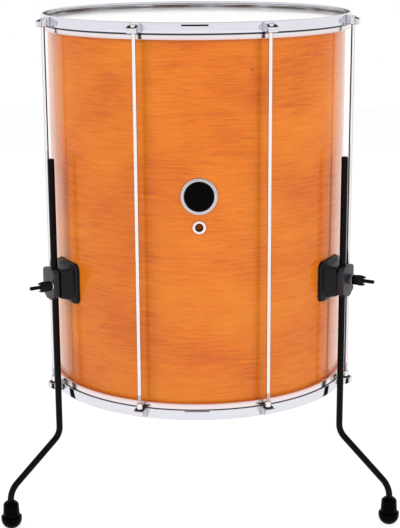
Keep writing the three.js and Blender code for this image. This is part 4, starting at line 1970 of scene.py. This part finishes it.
@dataclass
class LegBracket(Assembly):
    """The clamp that holds a leg: cast base on a rubber sheet, jaw, stud, washer and wing nut."""

    shell: Shell
    z: float = 381.1
    gap: float = 0.3
    gasket_margin: float = 0.9
    gasket_thick: float = 1.2
    gasket_edge: float = 0.3
    base_thick: float = 4.5
    base_back: float = 0.5
    base_edge: float = 2.0
    base: Triple = (67.0, 61.5, 9.0)
    boss_root: Pair = (52.0, 51.0)
    boss_face: Pair = (41.0, 45.0)
    boss_corner: float = 5.0
    boss_fillet: float = 1.2
    boss_fillet_flat: float = 0.6
    leg_line: float = 251.5
    clamp_half: float = 1.1
    groove: float = 5.3
    groove_half: float = 45.0
    jaw_thick: float = 9.4
    jaw_wide: float = 40.0
    jaw_high: float = 47.5
    jaw_drop: float = 1.6
    jaw_bevel: float = 1.4
    jaw_round: Pair = (1.5, 2.0)
    top_cut: float = 4.0
    low_cut: Pair = (12.0, 8.5)
    heel: float = 4.0
    heel_inset: float = 0.2
    stud_aside: float = 12.5
    stud_below: float = 1.15
    stud: float = 3.0
    stud_thread: Pair = (0.5, 1.0)
    stud_from: float = 237.4
    stud_to: float = 298.0
    stud_hole: float = 3.4
    washer: Pair = (3.4, 7.5)
    washer_thick: float = 1.4
    washer_round: Pair = (0.2, 0.35)
    hub: Pair = (7.6, 5.6)
    hub_long: float = 16.5
    hub_shoulder: float = 0.7
    wing_span: float = 7.9
    wing_long: float = 19.5
    wing_thick: float = 8.0

    def __post_init__(self) -> None:
        """Works out where each face lies, as distances from the drum's axis, from the shell outward."""
        self.gasket_inner = self.shell.outer + self.gap
        self.base_inner = self.gasket_inner + self.gasket_thick + self.gap
        self.base_outer = self.base_inner + self.base_thick
        self.boss_root_at = (self.base_inner + self.base_outer) / 2
        self.clamp_face = self.leg_line - self.clamp_half
        self.jaw_inner = self.leg_line + self.clamp_half
        self.jaw_outer = self.jaw_inner + self.jaw_thick
        self.wing_face = self.jaw_outer + self.washer_thick + 2 * self.gap

    def build(self) -> list[bpy.types.Object]:
        """Builds the three brackets.

        Returns:
            Their pieces.
        """
        made = []
        for side in Side:
            place = self.bench.place.at(side.value) @ Matrix.Translation((0, 0, self.z * MM))
            made += self._clamp(side.word, place)
            made += self._fastener(side.word, place)
            made.append(self._wing_nut(side, place))
        return made

    def _clamp(self, word: str, place: Matrix) -> list[bpy.types.Object]:
        """Makes the base, the sheet behind it and the jaw.

        Args:
            word: The side's word.
            place: The bracket's place.

        Returns:
            The three pieces.
        """
        line = [(x, y - self.leg_line) for x, y in circle(self.groove, 48)]
        groove = Skin().raised(line, -self.groove_half, self.groove_half)
        hole = drill(self.stud_hole, 32).placed(self._on_stud(self.jaw_inner))
        return [
            self.bench.piece(f"base_{word}_casting", self._base(), "drum", (self.finishes.bracket,),
                             (f"bracket_base_{word}",), matrix=place, cuts=(groove,), crisp=32),
            self.bench.piece(f"gasket_{word}_sheet", self._gasket(), "drum", (self.finishes.gasket,),
                             (f"bracket_gasket_{word}",), matrix=place),
            self.bench.piece(f"jaw_{word}_casting", self._jaw(), f"jaw_{word}", (self.finishes.jaw,),
                             (f"clamp_jaw_{word}",), matrix=place, cuts=(groove, hole), crisp=32),
        ]

    def _fastener(self, word: str, place: Matrix) -> list[bpy.types.Object]:
        """Makes the stud and the washer on it.

        Args:
            word: The side's word.
            place: The bracket's place.

        Returns:
            The two pieces.
        """
        stud = threaded(self.stud, *self.stud_thread, self.stud_from, self.stud_to, 24)
        stud.placed(self._on_stud(0))
        (inner, outer), (soft, edge) = self.washer, self.washer_round
        ring = softened([(inner, 0, soft), (outer, 0, edge), (outer, self.washer_thick, edge),
                         (inner, self.washer_thick, soft)], 3)
        washer = Skin().turned(ring, 48).placed(self._on_stud(self.jaw_outer + self.gap))
        return [
            self.bench.piece(f"stud_{word}_thread", stud, "drum",
                             (self.finishes.zinc, self.finishes.wing), (f"clamp_stud_{word}",),
                             matrix=place, sorter=self._stud_face),
            self.bench.piece(f"washer_{word}_ring", washer, f"jaw_{word}", (self.finishes.hardware,),
                             (f"clamp_washer_{word}",), matrix=place),
        ]

    def _on_stud(self, out: float) -> Matrix:
        """The place on the stud's axis at a distance from the drum's axis."""
        return outward_at(self.stud_aside, out, -self.stud_below)

    def _stud_face(self, middle: Vector, _normal: Vector) -> int:
        """Which finish a face of the stud takes.

        Args:
            middle: The face's middle in mm.
            _normal: Its normal, which isn't needed.

        Returns:
            0 for bright steel within the clamp, 1 for the blackened end from the wing nut outward.
        """
        return int(-middle.y > self.wing_face)

    def _base(self) -> Skin:
        """The cast base: a plate bent to the shell that rises through a fillet into a tapering boss.

        Returns:
            The base, without the leg's groove.
        """
        rings = [level.ring() for level in (*self._plate_levels(), *self._boss_levels())]
        skin = Skin().loft(rings, caps=False)
        return closed(closed(skin, rings[0], curved=True), rings[-1], curved=False)

    def _plate_levels(self) -> list[Level]:
        """The base's plate, from its back to its rounded front edge.

        Returns:
            Its rings.
        """
        back, edge = self.base_back, self.base_edge
        wide, high, corner = self.base
        levels = [Level(self.base_inner, wide - 2 * back, high - 2 * back, corner - back),
                  Level(self.base_inner + back, wide, high, corner)]
        for rise, inset in quarter(4):
            levels.append(Level(self.base_outer - edge + edge * rise, wide - 2 * edge * inset,
                                high - 2 * edge * inset, corner - edge * inset))
        return levels

    def _boss_levels(self) -> list[Level]:
        """The base's boss, from the fillet at its root to its rounded clamp face.

        Returns:
            Its rings.
        """
        levels = []
        fillet, edge, steps = self.boss_fillet, self.base_edge, 5
        for i, (run, rise) in enumerate(quarter(steps)):
            at = self.base_outer + fillet * rise
            wide, high = self._boss_at(at)
            spread = 2 * fillet * (1 - run)
            levels.append(Level(at, wide + spread, high + spread, self.boss_corner + spread / 2,
                                self.boss_fillet_flat * i / steps))
        for rise, inset in quarter(steps):
            at = self.clamp_face - edge + edge * rise
            wide, high = self._boss_at(at)
            levels.append(Level(at, wide - 2 * edge * inset, high - 2 * edge * inset,
                                self.boss_corner - edge * inset, 1.0))
        return levels

    def _boss_at(self, at: float) -> Pair:
        """The boss's width and height at a distance from the drum's axis.

        Args:
            at: The distance.

        Returns:
            Its width and height there.
        """
        share = (at - self.boss_root_at) / (self.clamp_face - self.boss_root_at)
        wide, high = (root + (face - root) * share for root, face in zip(self.boss_root, self.boss_face))
        return wide, high

    def _gasket(self) -> Skin:
        """The rubber sheet between the base and the shell, bent to the shell.

        Returns:
            The sheet.
        """
        wide, high, corner = self.base
        wide, high = wide + 2 * self.gasket_margin, high + 2 * self.gasket_margin
        corner += self.gasket_margin
        edge, thick = self.gasket_edge, self.gasket_thick
        rings = [Level(self.gasket_inner + rise, wide - 2 * inset, high - 2 * inset, corner - inset).ring()
                 for rise, inset in ((0, edge), (edge, 0), (thick - edge, 0), (thick, edge))]
        skin = Skin().loft(rings, caps=False)
        return closed(closed(skin, rings[0], curved=True), rings[-1], curved=True)

    def _jaw(self) -> Skin:
        """The jaw: a bevelled plate with cut corners, and the heel that it rocks on.

        Returns:
            The jaw, without the leg's groove and the stud's hole.
        """
        x, top = self.jaw_wide / 2, self.jaw_high / 2
        wide, high = self.low_cut
        soft, softer = self.jaw_round
        outline = softened([
            (x, -top + high, soft),
            (x, top - self.top_cut, soft),
            (x - self.top_cut, top, soft),
            (self.top_cut - x, top, soft),
            (-x, top - self.top_cut, soft),
            (-x, -top + high, soft),
            (wide - x, -top, softer),
            (x - wide, -top, softer),
        ], 3)
        place = outward_at(0, 0, -self.jaw_drop)
        jaw = Skin().raised(outline, self.jaw_inner, self.jaw_outer, self.jaw_bevel, 5).placed(place)
        half = top - high
        foot = soft_box((-x + self.heel_inset, -half), (self.heel - x, half), 0.8)
        heel = Skin().raised(foot, self.clamp_face + self.gap, self.jaw_inner + 2, 0.4).placed(place)
        return jaw.with_copy(heel)

    def _wing_nut(self, side: Side, place: Matrix) -> bpy.types.Object:
        """Makes the wing nut: a coned hub with two ears that sweep forward.

        Args:
            side: The leg's side.
            place: The bracket's place.

        Returns:
            The piece.
        """
        collar, nose = self.hub
        near, long = 0.02, self.hub_long
        section = softened([(near, 0, 0), (collar, 0, 0.6), (collar, long * self.hub_shoulder, 2.0),
                            (nose, long, 1.0), (near, long, 0)], 4, closed=False)
        nut = Skin().turned(section, 48, loop=False)
        ear = self._ear()
        for spin in (0, 180):
            nut.with_copy(ear, Matrix.Rotation(math.radians(spin), 4, "Z") @ UPRIGHT)
        nut.placed(self._on_stud(self.wing_face) @ Matrix.Rotation(math.radians(-side.wing_tilt), 4, "Z"))
        node = f"wing_nut_{side.word}"
        return self.bench.piece(f"{node}_casting", nut, node, (self.finishes.wing,), (node,),
                                matrix=place)

    def _ear(self) -> Skin:
        """One ear of the wing nut, flat in X and Y, from the hub's foot round the ear's tip.

        Returns:
            The ear.
        """
        turns = (
            (0.1, 0.0, 0.0),
            (0.1, 0.88, 2.0),
            (0.5, 1.0, 6.0),
            (0.78, 0.98, 6.0),
            (0.96, 0.84, 2.0),
            (1.0, 0.68, 1.4),
            (0.94, 0.54, 1.2),
            (0.66, 0.5, 2.0),
            (0.55, 0.4, 1.0),
            (0.55, 0.0, 0.0),
        )
        outline = softened([(out * self.wing_span, along * self.wing_long, r) for along, out, r in turns], 5)
        half = self.wing_thick / 2
        edges = ((0.0, 0.9), (0.35, 0.35), (0.95, 0.0))
        levels = [(-half + rise, inset) for rise, inset in edges]
        levels += [(half - rise, inset) for rise, inset in reversed(edges)]
        return Skin().loft([[(x, y, z) for x, y in shrunk(outline, inset)] for z, inset in levels])


@dataclass
class Leg(Assembly):
    """A round bar that drops, splays at the knee and drops again at the ankle, with its rubber foot."""

    line: float
    radius: float = 5.0
    top: float = 570.0
    dome: float = 1.6
    splay: float = 86.0
    knee: float = 136.7
    knee_radius: float = 26.0
    ankle: float = 60.5
    ankle_radius: float = 34.0
    end: float = 8.3
    foot_high: float = 43.0
    foot_gap: float = 0.3
    socket_z: float = 8.0
    neck_top: float = 11.6
    neck: float = 13.0
    bowl: float = 15.9
    patch: float = 5.0
    lip: Pair = (3.9, 1.4)
    groove: float = 1.8
    sides: int = 32

    def build(self) -> list[bpy.types.Object]:
        """Builds the three legs and their feet.

        Returns:
            The pieces.
        """
        made = []
        for side in Side:
            word, place = side.word, self.bench.place.at(side.value)
            made.append(self.bench.piece(f"leg_{word}_bar", self._bar(), f"leg_{word}",
                                         (self.finishes.leg,), (f"leg_{word}",), matrix=place, crisp=50))
            below = place @ Matrix.Translation((0, -(self.line + self.splay) * MM, 0))
            made.append(self.bench.piece(f"foot_{word}_moulding", self._foot(), f"leg_{word}",
                                         (self.finishes.foot,), (f"rubber_foot_{word}",), matrix=below))
        return made

    def _bar(self) -> Skin:
        """The bent bar, with a domed top end.

        Returns:
            The bar.
        """
        rings = []
        for out, z, radius, turn in self._stations():
            rings.append([(radius * x, -self.line - out - radius * y * math.cos(turn),
                           z + radius * y * math.sin(turn)) for x, y in circle(1.0, self.sides)])
        return Skin().loft(rings)

    def _stations(self) -> list[tuple[float, float, float, float]]:
        """The bar's middle line, from its dome through the knee and the ankle to its end in the foot.

        Returns:
            Points as (distance out of the straight part, height, radius, turn in radians).
        """
        slope = math.atan2(self.splay, self.knee - self.ankle)
        steps = 14
        turns = [slope * i / steps for i in range(steps + 1)]
        knee_top = self.knee + self.knee_radius * math.tan(slope / 2)
        ankle_end = self.ankle - self.ankle_radius * math.tan(slope / 2)
        made = []
        for turn in (math.pi / 2, math.pi / 2.6, math.pi / 4, math.pi / 8, 0):
            z = self.top - self.dome + self.dome * math.sin(turn)
            made.append((0.0, z, self.radius - self.dome * (1 - math.cos(turn)), 0.0))
        for turn in turns:
            out = self.knee_radius * (1 - math.cos(turn))
            made.append((out, knee_top - self.knee_radius * math.sin(turn), self.radius, turn))
        for turn in reversed(turns):
            out = self.splay - self.ankle_radius * (1 - math.cos(turn))
            made.append((out, ankle_end + self.ankle_radius * math.sin(turn), self.radius, turn))
        made.append((self.splay, self.end, self.radius, 0.0))
        return made

    def _foot(self) -> Skin:
        """The rubber foot: a tapering neck that stands in a round bowl with a raised lip.

        Returns:
            The foot.
        """
        near = 0.3
        bowl_z = math.sqrt(self.bowl ** 2 - self.patch ** 2)
        start = math.degrees(math.asin(self.patch / self.bowl)) - 90
        rise, thick = self.lip
        lip = bowl_z + rise
        socket = self.radius + self.foot_gap
        under = [(near, 0.0), (self.patch - 0.6, 0.0), *arc((0, bowl_z), self.bowl, start, 0, 12)]
        over = softened([
            (self.bowl, bowl_z, 0),
            (self.bowl, lip, 0.7),
            (self.bowl - thick, lip, 0.6),
            (self.neck + 0.5, lip - self.groove, 0.5),
            (self.neck, lip - self.groove + 0.6, 0.6),
            (self.neck_top + 0.1, self.foot_high - 3.4, 3.6),
            (self.neck_top - 3.6, self.foot_high, 1.2),
            (socket, self.foot_high, 0.3),
            (socket, self.socket_z, 0.3),
            (near, self.socket_z, 0),
        ], 6, closed=False)
        return Skin().turned([*under, *over[1:]], 64, loop=False)


# The studio


WHITE = (1.0, 1.0, 1.0)


@dataclass
class Camera:
    """The portrait's camera, at the photograph's place and viewing angle, in mm and degrees.

    Attributes:
        focal_pixels: Its focal length, in pixels of a picture that is frame_high pixels high.
        sees: The nearest and furthest distance that it sees, in metres.
    """

    place: Triple = (-22.65, -2190.6, 919.4)
    heading: float = 0.704
    pitch: float = 14.293
    roll: float = -0.324
    focal_pixels: float = 1372.8
    frame_high: float = 528.0
    sensor: float = 36.0
    sees: Pair = (0.05, 60.0)

    def build(self) -> None:
        """Makes the camera and gives it to the scene."""
        data = bpy.data.cameras.new("portrait_camera")
        data.sensor_width = self.sensor
        data.lens = self.focal_pixels * self.sensor / self.frame_high
        data.clip_start, data.clip_end = self.sees
        camera = bpy.data.objects.new("portrait_camera", data)
        bpy.context.scene.collection.objects.link(camera)
        camera.matrix_world = Matrix.Translation(Vector(self.place) * MM) @ self._stance()
        bpy.context.scene.camera = camera

    def _stance(self) -> Matrix:
        """How the camera is turned.

        Returns:
            Its rotation.
        """
        turn, tip, lean = (math.radians(angle) for angle in (self.heading, self.pitch, self.roll))
        forward = Vector((math.sin(turn) * math.cos(tip), math.cos(turn) * math.cos(tip), -math.sin(tip)))
        right = Vector((math.cos(turn), -math.sin(turn), 0))
        up = right.cross(forward)
        across = right * math.cos(lean) + up * math.sin(lean)
        rise = up * math.cos(lean) - right * math.sin(lean)
        return Matrix((across, rise, -forward)).transposed().to_4x4()


@dataclass(frozen=True)
class Lamp:
    """A soft box: its place, its size and the height that it points at in metres, and its power in watts."""

    name: str
    place: Triple
    size: Pair
    power: float
    aim: float = 0.45

    def build(self) -> None:
        """Makes the lamp. It lights the drum but isn't mirrored in it."""
        data = bpy.data.lights.new(self.name, "AREA")
        data.shape, (data.size, data.size_y) = "RECTANGLE", self.size
        data.energy = self.power
        lamp = bpy.data.objects.new(self.name, data)
        bpy.context.scene.collection.objects.link(lamp)
        place = Vector(self.place)
        toward = Vector((0, 0, self.aim)) - place
        lamp.matrix_world = Matrix.Translation(place) @ toward.to_track_quat("-Z", "Y").to_matrix().to_4x4()
        lamp.visible_camera = lamp.visible_glossy = False


@dataclass
class Studio:
    """A white studio: pale floor, white surroundings and soft boxes. Its floor's width is in metres."""

    floor: float = 9.0
    camera: Camera = field(default_factory=Camera)
    lamps: tuple[Lamp, ...] = (
        Lamp("key_box", (-2.4, -2.2, 2.2), (1.6, 1.8), 44.0),
        Lamp("fill_box", (2.4, -2.2, 1.8), (1.6, 1.8), 40.0),
        Lamp("top_box", (0.1, 0.3, 3.0), (1.8, 1.8), 22.0),
    )
    surround: float = 0.55
    ceiling: float = 0.6
    ceiling_from: Pair = (0.25, 0.8)
    paper: Triple = (0.86, 0.86, 0.87)
    paper_glow: float = 1.26
    paper_share: float = 0.62

    def build(self) -> None:
        """Builds the camera, the lamps, the surroundings and the floor."""
        scene = bpy.context.scene
        scene.view_settings.view_transform = "Standard"
        self.camera.build()
        for lamp in self.lamps:
            lamp.build()
        world = bpy.data.worlds.new("white_studio")
        scene.world = world
        world.use_nodes = True
        self._surroundings(Board(world.node_tree, "ShaderNodeOutputWorld"))
        self._ground()

    def _ground(self) -> None:
        """Lays the paper that the drum stands on."""
        half = self.floor / 2
        mesh = bpy.data.meshes.new("studio_floor")
        points = [(-half, -half, 0), (half, -half, 0), (half, half, 0), (-half, half, 0)]
        mesh.from_pydata(points, [], [(0, 1, 2, 3)])
        ground = bpy.data.objects.new("studio_floor", mesh)
        bpy.context.scene.collection.objects.link(ground)
        paper = bpy.data.materials.new("studio_paper")
        paper.use_nodes = True
        self._paper(Board(paper.node_tree))
        mesh.materials.append(paper)

    def _surroundings(self, board: Board) -> None:
        """White to the camera and at the horizon in reflections, with a darker ceiling, and soft as a light.

        Args:
            board: The world's board.
        """
        camera, glossy, passed = (board.add("ShaderNodeLightPath", out=f"Is {name} Ray")
                                  for name in ("Camera", "Glossy", "Transmission"))
        upward = board.height(board.add("ShaderNodeTexCoord", out="Generated"))
        mirrored = 1.0 - upward.step(*self.ceiling_from) * (1.0 - self.ceiling)
        seen = glossy + passed
        strength = camera + seen * mirrored + (1.0 - camera - seen) * self.surround
        board.finish(board.add("ShaderNodeBackground", None, {"Color": WHITE, "Strength": strength}))

    def _paper(self, board: Board) -> None:
        """White paper that keeps the drum's shadow and is near white to the camera.

        Args:
            board: The paper's board.
        """
        camera, glossy = (board.add("ShaderNodeLightPath", out=f"Is {name} Ray")
                          for name in ("Camera", "Glossy"))
        matt = board.add("ShaderNodeBsdfDiffuse", None, {"Color": self.paper})
        lit = board.add("ShaderNodeEmission", None, {"Color": WHITE, "Strength": self.paper_glow})
        share = (camera + glossy) * self.paper_share
        board.finish(board.add("ShaderNodeMixShader", None, {0: share, 1: matt, 2: lit}))


def dress_kept_nodes(place: Frame, finishes: Finishes) -> int:
    """Gives the CAD nodes that stay in view their finishes.

    Args:
        place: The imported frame.
        finishes: The drum's finishes.

    Returns:
        How many nodes were dressed.
    """
    kept = [name for name in place.nodes if name.startswith(("bracket_bolt_plate", "vent_lock_ring"))]
    for name in kept:
        node = place.nodes[name]
        node.data.materials.clear()
        node.data.materials.append(finishes.zinc.material())
    return len(kept)


def plain(box: Sequence[Vector]) -> list[list[float]]:
    """A box's two corners as plain lists of numbers."""
    return [[float(c) for c in corner] for corner in box]


def main() -> None:
    """Builds the drum piece by piece, then the studio."""
    logging.basicConfig(level=logging.INFO, format="%(name)s: %(message)s")
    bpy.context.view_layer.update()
    place = Frame(frame)
    bench = Bench(place)
    finishes = Finishes()
    shared = (bench, finishes)
    shell = Shell(*shared)
    hoops = [CounterHoop(*shared, shell, end) for end in End]
    bracket = LegBracket(*shared, shell)
    parts: list[Assembly] = [
        shell,
        *(Head(*shared, shell, end) for end in End),
        *hoops,
        TensionRod(*shared, shell, hoops[0]),
        Badge(*shared, shell),
        Vent(*shared, shell),
        bracket,
        Leg(*shared, bracket.leg_line),
    ]
    for part in parts:
        made = part.build()
        log.info("%s: %d pieces", type(part).__name__, len(made))
    log.info("kept nodes dressed: %d", dress_kept_nodes(place, finishes))
    Studio().build()
    log.info("studio built, %d pieces in all", bench.count)


if __name__ == "__main__":
    main()
